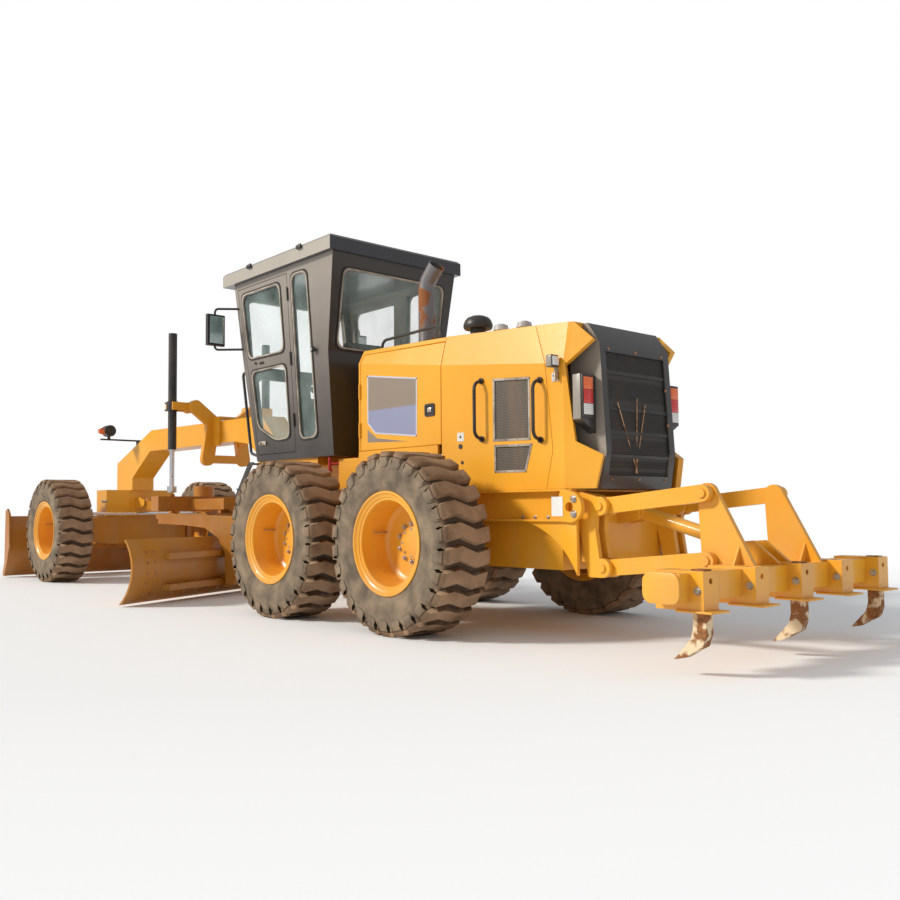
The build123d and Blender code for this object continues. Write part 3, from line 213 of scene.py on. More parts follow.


# cab paint: nearly black low down, lighter taupe high up as painted sky reflection, side faces paler as
# painted sunlight; pale dust on upward faces
def cabFinish(name, high, low, roughness, reflectionFrom=1.45, reflectionTo=3.0):
    paint = Finish(name, Coat_Weight=0.35, Coat_Roughness=0.10)
    # painted reflection of the bright sky: the paint turns lighter taupe higher up
    paintedSkyReflection = paint.spread(paint.axis(2), reflectionFrom, reflectionTo)
    cloud = paint.noise(2.2, 4.0)
    speck = paint.noise(70.0, 4.0)
    outward = paint.axis(1, paint.node("ShaderNodeTexCoord", output="Normal"))
    # painted sunlight: faces turned to the sides take the lighter colour, faces turned fore and aft stay
    # nearly black
    paintedSunOnSides = paint.spread(outward.apply("ABSOLUTE", outward), 0.5, 0.9, 0.04, 1.0)
    share = paint.spread(paintedSkyReflection + 0.4 * cloud, 0.15, 1.15) * paintedSunOnSides
    # pale dust on upward faces, laid over the painted reflection and painted sunlight
    dustAndPaintedLight = paint.blend(paint.spread(paint.upward(), 0.6, 0.95, 0.0, 0.5), paint.blend(share, low, high),
                        (0.20, 0.17, 0.14))
    paint.colour(dustAndPaintedLight)
    paint.rough(roughness + 0.12 * speck)
    rounded = paint.node("ShaderNodeBevel", {"samples": 4}, {"Radius": 0.005})
    paint.normal(paint.bump(speck, 0.00008, 0.5, rounded))
    return paint.material


# tinted pane with a faint dusty film
def glassFinish(name, tint, clearness):
    pane = Finish(name, Roughness=0.04, Specular_IOR_Level=0.7, Coat_Weight=0.4)
    film = pane.noise(3.0, 5.0)
    pane.colour(pane.blend(pane.spread(film, 0.35, 0.7), tint, tuple(min(1.0, c * 1.25) for c in tint)))
    pane.feed(pane.shader, "Alpha", pane.spread(film, 0.3, 0.75, clearness, clearness + 0.10))
    return pane.material


# woven wire: painted shade in the holes, where the dark bay behind shows through, in bands with brownish
# streaks
def meshFinish(name, wire, hole, pitch, glow):
    net = Finish(name)
    fine = net.node("ShaderNodeTexVoronoi", {"distance": "CHEBYCHEV"}, {
        "Vector": net.place((1.0, 1.0, 1.0)), "Scale": 1.0 / pitch, "Randomness": 0.0})
    # painted shade seen through the holes, banded darker and lighter, with brownish streaks
    back = net.noise(3.0, 4.0, stretch=(1.0, 1.0, 0.25))
    paintedShadeInHoles = net.blend(net.spread(back, 0.48, 0.66), hole, glow)
    gap = net.spread(fine, 0.30, 0.38, 1.0, 0.0)
    net.colour(net.blend(gap, wire, paintedShadeInHoles))
    net.rough(0.55 + 0.3 * gap)
    net.normal(net.bump(fine, 0.002, 0.6))
    return net.material


# ribbed lens of a lamp
def lensFinish(name, tint, glow):
    lens = Finish(name, Coat_Weight=0.6, Coat_Roughness=0.05)
    rib = lens.node("ShaderNodeTexWave", {"wave_type": "BANDS", "bands_direction": "Z"}, {
        "Vector": lens.place(), "Scale": 28.0})
    lens.colour(lens.blend(lens.spread(rib, 0.2, 0.8), tint, tuple(0.6 * c for c in tint)))
    lens.rough(0.12 + 0.08 * rib)
    lens.normal(lens.bump(rib, 0.001, 0.5))
    lens.feed(lens.shader, "Emission Color", (*tint, 1.0))
    lens.feed(lens.shader, "Emission Strength", glow)
    return lens.material


# two flat shades that meet at one height
def decalFinish(name, high, low, level):
    film = Finish(name, Coat_Weight=0.3)
    fine = film.noise(50.0, 3.0)
    share = film.spread(film.axis(2), level - 0.01, level + 0.01)
    film.colour(film.blend(share, low, high))
    film.rough(0.32 + 0.12 * fine)
    return film.material


dustTone = (0.47, 0.33, 0.19)
finishes = {
    "yellow": paintFinish("machineYellow", (0.88, 0.42, 0.026), (0.82, 0.36, 0.016), dustTone, 0.24),
    # worn yellow: darker partly from wear and dirt and partly as painted shade, since these parts face away
    # from the sun
    "yellowWornAndShaded": paintFinish("machineYellowWornAndShaded", (0.56, 0.225, 0.014), (0.40, 0.145, 0.010), dustTone, 0.34,
                              0.38, 0.0008),
    "rim": paintFinish("rimYellow", (0.88, 0.42, 0.030), (0.80, 0.34, 0.018), dustTone, 0.26),
    # cab and roof: the taupe colours are painted sky reflection and painted sunlight on near-black paint; the
    # roof's bluish dark colour is painted sky reflection
    "cab": cabFinish("cabBrownGrey", (0.310, 0.270, 0.235), (0.024, 0.019, 0.016), 0.26),
    "roof": cabFinish("roofBlack", (0.440, 0.400, 0.345), (0.016, 0.019, 0.030), 0.22, 1.0, 2.6),
    "black": plainFinish("blackSatin", (0.022, 0.021, 0.021), (0.050, 0.044, 0.038), 0.36),
    "blackRubber": plainFinish("blackSeal", (0.012, 0.012, 0.012), (0.030, 0.028, 0.025), 0.62),
    # tail surround and lamp housings: near black, with paler side faces as painted sunlight
    "surround": cabFinish("surroundGrey", (0.300, 0.265, 0.225), (0.026, 0.025, 0.027), 0.30, 0.2, 1.3),
    "interior": plainFinish("cabLining", (0.030, 0.029, 0.028), (0.060, 0.054, 0.047), 0.66),
    "glass": glassFinish("cabGlass", (0.62, 0.80, 0.77), 0.06),
    "rubber": rubberFinish("dustyRubber"),
    "exhaust": rustFinish("exhaustSteel", (0.20, 0.19, 0.20), (0.34, 0.12, 0.035), 0.55, scale=6.0),
    "chrome": rustFinish("rodChrome", (0.80, 0.80, 0.82), (0.50, 0.42, 0.30), 0.05, 0.12, 1.0),
    "steel": rustFinish("boltSteel", (0.56, 0.54, 0.50), (0.40, 0.26, 0.13), 0.30, 0.34, 0.9, 22.0),
    "shank": rustFinish("shankSteel", (0.74, 0.60, 0.40), (0.36, 0.15, 0.05), 0.55, 0.50, 0.15, 12.0),
    "engine": rustFinish("engineIron", (0.10, 0.10, 0.10), (0.18, 0.12, 0.08), 0.40, 0.6, 0.3),
    "ventMesh": meshFinish("ventMesh", (0.15, 0.125, 0.10), (0.040, 0.030, 0.022), 0.011,
                           (0.26, 0.12, 0.045)),
    "tailMesh": meshFinish("tailMesh", (0.030, 0.026, 0.023), (0.006, 0.005, 0.005), 0.012,
                           (0.040, 0.020, 0.010)),
    "decal": decalFinish("decalShades", (0.270, 0.215, 0.170), (0.270, 0.285, 0.440), 1.715),
    "decalLow": plainFinish("decalTaupe", (0.29, 0.23, 0.18), (0.25, 0.20, 0.16), 0.34),
    "decalEdge": plainFinish("decalPale", (0.60, 0.62, 0.72), (0.52, 0.54, 0.66), 0.34),
    "seal": plainFinish("wornSeal", (0.46, 0.40, 0.32), (0.24, 0.20, 0.16), 0.60, scale=90.0),
    "copper": rustFinish("copperBolt", (0.62, 0.36, 0.20), (0.36, 0.15, 0.06), 0.4, 0.36, 0.8, 30.0),
    "greyPlastic": plainFinish("greyCap", (0.50, 0.50, 0.50), (0.36, 0.36, 0.37), 0.40),
    "whitePlate": plainFinish("blankPlate", (0.80, 0.80, 0.79), (0.68, 0.67, 0.64), 0.34),
    "redBar": paintFinish("lockBarRed", (0.55, 0.020, 0.012), (0.46, 0.016, 0.010), (0.47, 0.33, 0.19), 0.25),
    "mirror": plainFinish("mirrorGlass", (0.55, 0.60, 0.60), (0.48, 0.53, 0.54), 0.03, 1.0),
    "seatCloth": plainFinish("seatCloth", (0.026, 0.026, 0.028), (0.045, 0.043, 0.042), 0.82,
                             scale=240.0, grain=0.0008),
    "lensRed": lensFinish("lensRed", (0.60, 0.02, 0.015), 0.15),
    "lensAmber": lensFinish("lensAmber", (0.80, 0.14, 0.02), 0.15),
    "lensWhite": lensFinish("lensWhite", (0.78, 0.78, 0.76), 0.10),
}
print("finishes made:", len(finishes))

# which finish each CAD node gets
nodeFinish = {
    "yellow": ("rear_chassis", "tandem_axle", "hood_front", "hood_middle", "hood_rear", "engine_door_left",
               "engine_door_right", "gooseneck", "lift_saddle", "ripper_lower_links", "ripper_upper_links",
               "ripper_barrel", "ripper_beam", "dozer_barrel"),
    "yellowWornAndShaded": ("front_axle", "knuckle_left", "knuckle_right", "drawbar", "circle", "blade_carrier",
                   "moldboard", "dozer_blade"),
    "cab": ("cab_shell", "cab_door_left", "cab_door_right"),
    "roof": ("cab_roof",),
    "glass": ("cab_glass", "door_glass_left", "door_glass_right"),
    "black": ("steps_and_rails", "front_lamps", "hood_fittings", "lift_barrels", "rear_lamps"),
    "surround": ("grilles",),
    "interior": ("seat", "console"),
    "exhaust": ("exhaust_stack",),
    "chrome": ("lift_rods", "ripper_rod", "dozer_rod", "tie_rod"),
    "shank": ("ripper_shanks",),
    "engine": ("engine_block",),
}
for finishName, members in nodeFinish.items():
    for member in members:
        for slot in nodes[member].material_slots:
            slot.material = finishes[finishName]
print("CAD nodes dressed")


# helpers for meshes; each takes the bmesh that it adds to
def bevelAll(bm, geom, offset, segments=2, affect="EDGES", clamp=False):
    bmesh.ops.bevel(bm, geom=geom, offset=offset, segments=segments, profile=0.5, affect=affect,
                    clamp_overlap=clamp, material=-1)


def vertsOf(made):
    return [item for item in made["geom"] if isinstance(item, bmesh.types.BMVert)]


def thicken(part, shift):
    grown = bmesh.ops.extrude_face_region(part, geom=part.faces[:])
    bmesh.ops.translate(part, vec=shift, verts=vertsOf(grown))


def addBox(bm, low, high, rounding=0.0, segments=2):
    low, high = Vector(low), Vector(high)
    made = bmesh.ops.create_cube(bm, size=1.0)["verts"]
    bmesh.ops.scale(bm, vec=high - low, verts=made)
    bmesh.ops.translate(bm, vec=(low + high) / 2, verts=made)
    if rounding:
        bevelAll(bm, list({edge for vert in made for edge in vert.link_edges}), rounding, segments)


def addSideBox(bm, sign, alongX, y, half, upZ, rounding=0.0, segments=2):
    # a box on one side of the machine, told from the tandems' middle
    low, high = at(alongX[0], sign * y - half, upZ[0]), at(alongX[1], sign * y + half, upZ[1])
    addBox(bm, low, high, rounding, segments)


def addRod(bm, start, end, radius, segments=16, endRadius=None):
    start, end = Vector(start), Vector(end)
    along = end - start
    place = Matrix.Translation((start + end) / 2) @ along.to_track_quat("Z", "Y").to_matrix().to_4x4()
    endRadius = radius if endRadius is None else endRadius
    bmesh.ops.create_cone(bm, cap_ends=True, segments=segments, radius1=radius, radius2=endRadius,
                          depth=along.length, matrix=place)


def addBolt(bm, place, outward, radius, height=None, washer=1.35):
    place, outward = Vector(place), Vector(outward).normalized()
    height = height or radius
    addRod(bm, place - outward * 0.002, place + outward * height * 0.25, radius * washer, 14)
    addRod(bm, place, place + outward * height, radius, 6)
    addRod(bm, place + outward * height * 0.9, place + outward * height * 1.35, radius * 0.55, 10)


def addSpun(bm, profile, steps):
    # the profile is (across, distance from the axle); it turns about the Y axis
    made = [bm.verts.new((0.0, across, -reach)) for across, reach in profile]
    edges = [bm.edges.new(pair) for pair in zip(made, made[1:])]
    bmesh.ops.spin(bm, geom=made + edges, cent=(0, 0, 0), axis=(0, 1, 0), dvec=(0, 0, 0), angle=2 * pi,
                   steps=steps, use_merge=True, use_normal_flip=False, use_duplicate=False)


def addLoft(bm, sections):
    made = [bm.verts.new(point) for point in sections[0]]
    face = bm.faces.new(made)
    for section in sections[1:]:
        grown = bmesh.ops.extrude_face_region(bm, geom=[face])
        fresh = set(vertsOf(grown))
        made = [next(edge.other_vert(vert) for edge in vert.link_edges if edge.other_vert(vert) in fresh)
                for vert in made]
        face = next(item for item in grown["geom"] if isinstance(item, bmesh.types.BMFace)
                    and all(vert in fresh for vert in item.verts))
        for vert, point in zip(made, section):
            vert.co = point


def rectangle(first1, first2, second1, second2):
    return [(first1, second1), (first1, second2), (first2, second2), (first2, second1)]


def addPlate(bm, outline, toPlace, depth, rounding=0.0):
    # the outline lies in a plane; toPlace turns (first, second, out) into a point
    front = [toPlace(first, second, depth) for first, second in outline]
    back = [toPlace(first, second, 0.0) for first, second in outline]
    part = bmesh.new()
    addLoft(part, [back, front])
    if rounding:
        bevelAll(part, part.edges[:], rounding)
    joinInto(bm, part)


def addBand(bm, outline, toPlace, band, depth, corner):
    # a ring that runs along an outline with rounded corners
    part = bmesh.new()
    part.faces.new([part.verts.new(toPlace(first, second, 0.0)) for first, second in outline])
    bevelAll(part, part.verts[:], corner, 4, "VERTICES")
    bmesh.ops.inset_region(part, faces=part.faces[:], thickness=band, use_boundary=True, use_even_offset=True)
    part.faces.ensure_lookup_table()
    middle = max(part.faces, key=lambda face: len(face.verts))
    bmesh.ops.delete(part, geom=[middle], context="FACES_ONLY")
    thicken(part, (toPlace(*outline[0], 1.0) - toPlace(*outline[0], 0.0)) * depth)
    joinInto(bm, part)


def addPeg(bm, toPlace, spot, low, high, radius, segments=16, endRadius=None):
    addRod(bm, toPlace(*spot, low), toPlace(*spot, high), radius, segments, endRadius)


def joinInto(bm, part):
    holder = bpy.data.meshes.new("holder")
    bmesh.ops.recalc_face_normals(part, faces=part.faces[:])
    part.to_mesh(holder)
    part.free()
    bm.from_mesh(holder)
    bpy.data.meshes.remove(holder)


def finishPiece(name, bm, body, finishName, slot, sharp=32.0, place=None, attributes=None):
    bmesh.ops.remove_doubles(bm, verts=bm.verts[:], dist=0.00001)
    bmesh.ops.recalc_face_normals(bm, faces=bm.faces[:])
    mesh = bpy.data.meshes.new(name)
    bm.to_mesh(mesh)
    bm.free()
    for attribute, measure in (attributes or {}).items():
        data = mesh.attributes.new(attribute, "FLOAT", "POINT").data
        for vert in mesh.vertices:
            data[vert.index].value = measure(vert.co)
    if place:
        mesh.transform(place)
    mesh.materials.append(finishes[finishName])
    mesh.shade_smooth()
    mesh.set_sharp_from_angle(angle=radians(sharp))
    piece = bpy.data.objects.new(name, mesh)
    scene.collection.objects.link(piece)
    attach(piece, body)
    return piece


def sideMatrix(middle, sign):
    # a wheel is made for the left side; the right one is turned about the upright
    turn = Matrix.Identity(4) if sign > 0 else Matrix.Rotation(pi, 4, "Z")
    return Matrix.Translation(middle) @ turn


# tyres: a turned carcass with zigzag lugs that run down onto the sidewall
tyreShape = {
    "lugs": 26, "steps": 104, "bend": 0.0742, "wave": 0.025, "exit": 0.2087, "rounding": 0.0045,
    # place across the tyre, distance from the axle
    "carcass": ((0.172, 0.320), (0.184, 0.352), (0.189, 0.366), (0.197, 0.380), (0.2025, 0.391),
                (0.2065, 0.396),
                (0.2065, 0.402), (0.2110, 0.418), (0.2165, 0.440), (0.2195, 0.465), (0.2200, 0.492),
                (0.2188, 0.516), (0.2200, 0.521), (0.2180, 0.529), (0.2135, 0.552), (0.2060, 0.576),
                (0.1950, 0.596), (0.1780, 0.608), (0.1500, 0.612), (0.0, 0.613)),
    # place across, half length at the top and at the foot, distance of top and foot from the axle
    "lugSections": ((0.2228, 0.030, 0.034, 0.553, 0.535), (0.2150, 0.044, 0.050, 0.601, 0.560),
                    (0.1885, 0.0515, 0.060, 0.648, 0.590), (0.0742, 0.0515, 0.060, 0.648, 0.600))}


def lugLead(across):
    shape = tyreShape
    side = 1 if across > 0 else -1
    if abs(across) <= shape["bend"]:
        return -shape["wave"] * across / shape["bend"]
    return -side * shape["wave"] * (shape["exit"] - abs(across)) / (shape["exit"] - shape["bend"])


def makeTyreMesh():
    shape = tyreShape
    bm = bmesh.new()
    half = list(shape["carcass"])
    profile = half + [(-across, reach) for across, reach in reversed(half[:-1])]
    addSpun(bm, profile + [profile[0]], shape["steps"])
    lug = bmesh.new()
    lastTurn = 2 * pi * (shape["lugs"] - 1) / shape["lugs"]
    rows = list(shape["lugSections"])
    rows += [(-across, *rest) for across, *rest in reversed(rows)]
    sections = []
    for across, topHalf, footHalf, top, foot in rows:
        lead = lugLead(across)
        sections.append([Vector((lead - footHalf, across, -foot)), Vector((lead - topHalf, across, -top)),
                         Vector((lead + topHalf, across, -top)), Vector((lead + footHalf, across, -foot))])
    addLoft(lug, sections)
    bevelAll(lug, lug.edges[:], shape["rounding"], clamp=True)
    bmesh.ops.spin(lug, geom=lug.verts[:] + lug.edges[:] + lug.faces[:], cent=(0, 0, 0), axis=(0, 1, 0),
                   dvec=(0, 0, 0), angle=lastTurn, steps=shape["lugs"] - 1, use_duplicate=True,
                   use_merge=False)
    joinInto(bm, lug)
    return bm


# rims: rolled flange with its lock ring, deep dish, disc with nuts and a hub plate
rimShape = {
    "steps": 72, "nutCount": 10, "nutRing": 0.136, "nutRadius": 0.0155, "studCount": 8, "studRing": 0.099,
    "profile": ((-0.043, 0.0), (-0.043, 0.112), (-0.046, 0.119), (-0.057, 0.122), (-0.057, 0.240),
                (-0.051, 0.264), (-0.034, 0.284), (0.000, 0.291), (0.150, 0.299), (0.168, 0.302),
                (0.175, 0.309), (0.176, 0.322), (0.183, 0.327), (0.187, 0.340), (0.193, 0.347),
                (0.202, 0.356), (0.203, 0.367), (0.196, 0.371), (0.187, 0.364), (0.180, 0.348),
                (0.171, 0.318), (-0.171, 0.318), (-0.180, 0.348), (-0.187, 0.364),
                (-0.196, 0.371), (-0.203, 0.362), (-0.198, 0.345), (-0.186, 0.322), (-0.174, 0.306),
                (-0.150, 0.299), (-0.092, 0.288), (-0.080, 0.270), (-0.077, 0.240), (-0.077, 0.0)),
    "valve": ((0.262, 0.085, 0.070), (0.262, -0.030, 0.070), 0.0065)}
wheelRows = [(axle, side, sign) for axle in ("front", "middle", "rear") for side, sign in sides]
for axle, side, sign in wheelRows:
    low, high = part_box(f"tyre_{axle}_{side}")
    middle = Vector([(a + b) / 2 for a, b in zip(low, high)])
    middle.z = 0.648
    place = sideMatrix(middle, sign)
    body = f"wheel_{axle}_{side}"
    tyre = finishPiece(f"tyre.{axle}.{side}", makeTyreMesh(), body, "rubber", "tyre_rubber", 40.0, place,
                       {"fromAxle": lambda point: hypot(point.x, point.z)})
    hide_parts(f"tyre_{axle}_{side}")
    bm = bmesh.new()
    addSpun(bm, rimShape["profile"], rimShape["steps"])
    rim = finishPiece(f"rim.{axle}.{side}", bm, body, "rim", "machine_yellow", 30.0, place)
    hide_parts(f"rim_{axle}_{side}")
    bm = bmesh.new()
    for nut in range(rimShape["nutCount"]):
        angle = 2 * pi * (nut + 0.5) / rimShape["nutCount"]
        spot = (rimShape["nutRing"] * cos(angle), -0.057, rimShape["nutRing"] * sin(angle))
        addBolt(bm, spot, (0, 1, 0), rimShape["nutRadius"], 0.020)
    for stud in range(rimShape["studCount"]):
        angle = 2 * pi * stud / rimShape["studCount"]
        spot = Vector((rimShape["studRing"] * cos(angle), -0.043, rimShape["studRing"] * sin(angle)))
        addRod(bm, spot - Vector((0, 0.002, 0)), spot + Vector((0, 0.004, 0)), 0.010, 12)
    addRod(bm, *rimShape["valve"], 10)
    finishPiece(f"nuts.{axle}.{side}", bm, body, "steel", "rod_chrome", 30.0, place)
print("wheels made")


# places are told from the middle of the tandems, the ground and the centre line
def at(x, y, z):
    return Vector((tandemX + x, y, z))


def isInside(outline, x, z):
    crossings = 0
    for (x1, z1), (x2, z2) in zip(outline, outline[1:] + outline[:1]):
        if (z1 > z) != (z2 > z) and x < x1 + (z - z1) * (x2 - x1) / (z2 - z1):
            crossings += 1
    return crossings % 2 == 1


def roundSharp(bm, offset, angle=18.0, segments=2):
    edges = [edge for edge in bm.edges if edge.calc_face_angle(0.0) > radians(angle)]
    bevelAll(bm, edges, offset, segments, clamp=True)


# engine hood: its section runs through four stations and leans in above a crease
hood = {"stations": (0.450, -0.595, -1.640, -1.940), "top": (2.250, 2.220, 2.156, 2.134),
        "crease": (2.136, 1.992, 1.876, 1.832), "side": 0.560, "ridge": 0.500,
        "drawFrom": -1.800, "drawTo": -2.060, "draw": 0.110, "wall": 0.022, "tailWall": 0.042, "low": 1.017,
        "panelLow": 1.382, "rounding": 0.016}
tailSeam = [(-1.496, 2.300), (-1.496, 2.200), (-1.645, 1.876), (-1.705, 1.280), (-1.640, 1.000)]
tailNotch = [(-1.991, 1.000), (-2.041, 1.237), (-1.872, 1.332), (-1.815, 1.852), (-1.984, 2.010),
             (-1.834, 2.148), (-1.834, 2.300)]
vents = [[(-1.147, 1.370), (-1.147, 1.825), (-1.503, 1.800), (-1.503, 1.360)],
         [(-1.155, 1.145), (-1.155, 1.345), (-1.522, 1.335), (-1.460, 1.140)]]


def hoodLevel(levels, x):
    spots = hood["stations"]
    index = 2 if x < spots[2] else 1 if x < spots[1] else 0
    share = (spots[index] - x) / (spots[index] - spots[index + 1])
    return levels[index] + share * (levels[index + 1] - levels[index])


def hoodReach(x, z):
    drawn = hood["draw"] * max(0.0, (hood["drawFrom"] - x) / (hood["drawFrom"] - hood["drawTo"]))
    crease, top = hoodLevel(hood["crease"], x), hoodLevel(hood["top"], x)
    share = max(0.0, (z - crease) / (top - crease))
    return hood["side"] - drawn - share * (hood["side"] - hood["ridge"] - 0.3 * drawn)


def addShell(bm, stations, outline, holes, wall, low, keep=lambda face: True):
    # the section as one sheet, rounded along its creases, cut to a side outline and given its wall
    part = bmesh.new()
    bmesh.ops.create_grid(part, x_segments=len(stations) - 1, y_segments=5, size=0.5)
    for vert in part.verts:
        x = stations[round((vert.co.x + 0.5) * (len(stations) - 1))]
        row = round((vert.co.y + 0.5) * 5)
        side = -1 if row < 3 else 1
        z = (low, hoodLevel(hood["crease"], x), hoodLevel(hood["top"], x))[row if row < 3 else 5 - row]
        vert.co = (x, side * hoodReach(x, z), z)
    roundSharp(part, hood["rounding"], 4.0, 3)
    for ring in [outline] + list(holes):
        for (x1, z1), (x2, z2) in zip(ring, ring[1:] + ring[:1]):
            bmesh.ops.bisect_plane(part, geom=part.verts[:] + part.edges[:] + part.faces[:], dist=0.00001,
                                   plane_co=(x1, 0.0, z1), plane_no=(z2 - z1, 0.0, x1 - x2))
    gone = []
    for face in part.faces:
        middle = face.calc_center_median()
        cutOut = any(isInside(hole, middle.x, middle.z) for hole in holes)
        if cutOut or not isInside(outline, middle.x, middle.z) or not keep(middle):
            gone.append(face)
    bmesh.ops.delete(part, geom=gone, context="FACES")
    bmesh.ops.recalc_face_normals(part, faces=part.faces[:])
    highest = max(part.faces, key=lambda face: abs(face.normal.z) + face.calc_center_median().z)
    outermost = max(part.faces, key=lambda face: face.calc_center_median().y)
    flipped = (highest.normal.z if abs(highest.normal.z) > 0.7 else outermost.normal.y) < 0
    part.normal_update()
    keyed = lambda vert: tuple(round(c, 6) for c in vert.co)
    shifts = {keyed(vert): vert.normal * (wall if flipped else -wall) for vert in part.verts}
    grown = bmesh.ops.extrude_face_region(part, geom=part.faces[:])
    for vert in vertsOf(grown):
        vert.co += shifts[keyed(vert)]
    bmesh.ops.translate(part, vec=(tandemX, 0.0, 0.0), verts=part.verts[:])
    bmesh.ops.recalc_face_normals(part, faces=part.faces[:])
    rims = [edge for edge in part.edges if edge.calc_face_angle(0.0) > radians(60)]
    bevelAll(part, rims, min(0.3 * wall, 0.012), 3, clamp=True)
    joinInto(bm, part)


panelDrop = 0.040  # the opening panel ends this far below the hood's top
panelTop = [hoodLevel(hood["top"], x) - panelDrop for x in (0.421, -0.590)]
opening = [(0.425, hood["panelLow"] - 0.01), (0.425, panelTop[0] + 0.004), (-0.60, panelTop[1] + 0.004),
           (-0.60, hood["panelLow"] - 0.01)]
bm = bmesh.new()
addShell(bm, (0.450, 0.0, -0.5935), rectangle(0.46, -0.60, 1.3, 2.4), [opening], hood["wall"],
         hood["panelLow"])
addPlate(bm, [(-0.53, 1.39), (0.53, 1.39), (0.53, 2.11), (0.475, 2.215), (-0.475, 2.215), (-0.53, 2.11)],
         lambda y, z, out: at(0.425 + out, y, z), 0.020)
hoodFront = finishPiece("hood.front", bm, "rear_frame", "yellow", "machine_yellow", 1.0)
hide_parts("hood_front")
bm = bmesh.new()
addShell(bm, (-0.5985, -1.640, -1.80), [(-0.59, 1.0), (-0.59, 2.4), (-1.500, 2.4)]
         + [(x + 0.004, z) for x, z in tailSeam[1:]], vents, hood["wall"], hood["low"])
hoodMiddle = finishPiece("hood.middle", bm, "rear_frame", "yellow", "machine_yellow", 1.0)
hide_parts("hood_middle")
bm = bmesh.new()
addShell(bm, (-1.400, -1.640, -1.800, -2.060), tailSeam + tailNotch, [], hood["tailWall"], hood["low"])
hoodRear = finishPiece("hood.rear", bm, "rear_frame", "yellow", "machine_yellow", 1.0)
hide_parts("hood_rear")
latch = {"frame": rectangle(-0.406, -0.522, 1.609, 1.708), "plate": rectangle(-0.425, -0.503, 1.628, 1.689),
         "grip": rectangle(-0.438, -0.485, 1.640, 1.677), "screw": (-0.462, 1.658),
         "band": 0.020, "corner": 0.018}
panel = {"outline": [(0.421, hood["panelLow"]), (0.421, panelTop[0]), (-0.590, panelTop[1]),
                     (-0.590, hood["panelLow"])],
         "hinges": (1.50, 1.83), "hingeLength": 0.12, "hingeX": 0.4243, "hingeY": 0.5675,
         "hingeRadius": 0.011}
for side, sign in sides:
    bm = bmesh.new()
    addShell(bm, (0.450, 0.0, -0.7), panel["outline"], [], hood["wall"], hood["panelLow"],
             lambda middle: middle.y * sign > 0)
    for z in panel["hinges"]:
        foot = at(panel["hingeX"], sign * panel["hingeY"], z)
        addRod(bm, foot, foot + Vector((0, 0, panel["hingeLength"])), panel["hingeRadius"])
    body = f"engine_door_{side}"
    panelPiece = finishPiece(f"enginePanel.{side}", bm, body, "yellow", "machine_yellow", 1.0)
    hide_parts(f"engine_door_{side}")
    bm = bmesh.new()
    onSide = lambda x, z, out: at(x, sign * (hoodReach(x, z) + out), z)
    addBand(bm, latch["frame"], onSide, latch["band"], 0.007, latch["corner"])
    addPlate(bm, latch["plate"], onSide, 0.002)
    finishPiece(f"latch.frame.{side}", bm, f"engine_door_{side}", "black", "fittings_black")
    bm = bmesh.new()
    addPlate(bm, latch["grip"], onSide, 0.009, 0.003)
    addPeg(bm, onSide, latch["screw"], 0.006, 0.012, 0.010)
    finishPiece(f"latch.handle.{side}", bm, f"engine_door_{side}", "steel", "rod_chrome")

# painted panel on the near side: bare of letters, two shades with a pale edge and a cut corner
decal = {"field": [(0.325, 2.019), (-0.313, 1.929), (-0.308, 1.462), (0.220, 1.518), (0.325, 1.612)],
         "corner": [(0.325, 1.560), (0.325, 1.452), (-0.200, 1.430), (0.195, 1.478)],
         "thick": 0.0012, "edge": 0.012, "edgeThick": 0.0018, "edgeCorner": 0.001}
onLeft = lambda x, z, out: at(x, hoodReach(x, z) + out, z)
bm = bmesh.new()
addPlate(bm, decal["field"], onLeft, decal["thick"])
finishPiece("decal.field", bm, "engine_door_left", "decal", "cab_grey")
bm = bmesh.new()
addPlate(bm, decal["corner"], onLeft, decal["thick"])
finishPiece("decal.corner", bm, "engine_door_left", "decalLow", "cab_grey")
bm = bmesh.new()
addBand(bm, decal["field"], onLeft, decal["edge"], decal["edgeThick"], decal["edgeCorner"])
finishPiece("decal.edge", bm, "engine_door_left", "decalEdge", "cab_grey")

# side vents: a worn seal round the woven wire
ventSeal = {"y": 0.545, "band": 0.016, "out": 0.018, "corner": 0.012, "studsAnEdge": 3, "studInset": 0.010}
bm, wires = bmesh.new(), bmesh.new()
for side, sign in sides:
    onSide = lambda x, z, out: at(x, sign * (ventSeal["y"] + out), z)
    for vent in vents:
        addPlate(wires, [(x - 0.001 if x > -1.3 else x + 0.001, z) for x, z in vent], onSide, 0.008)
        addBand(bm, vent, onSide, ventSeal["band"], ventSeal["out"], ventSeal["corner"])
        spots = [Vector(a).lerp(Vector(b), step / ventSeal["studsAnEdge"])
                 for a, b in zip(vent, vent[1:] + vent[:1]) for step in range(ventSeal["studsAnEdge"])]
        middle = sum(spots, Vector((0.0, 0.0))) / len(spots)
        for spot in spots:
            inset = spot + (middle - spot).normalized() * ventSeal["studInset"]
            addBolt(bm, onSide(inset.x, inset.y, 0.017), (0, sign, 0), 0.006, 0.004)
finishPiece("vent.wire", wires, "rear_frame", "ventMesh", "engine_iron")
finishPiece("vent.seal", bm, "rear_frame", "seal", "fittings_black")

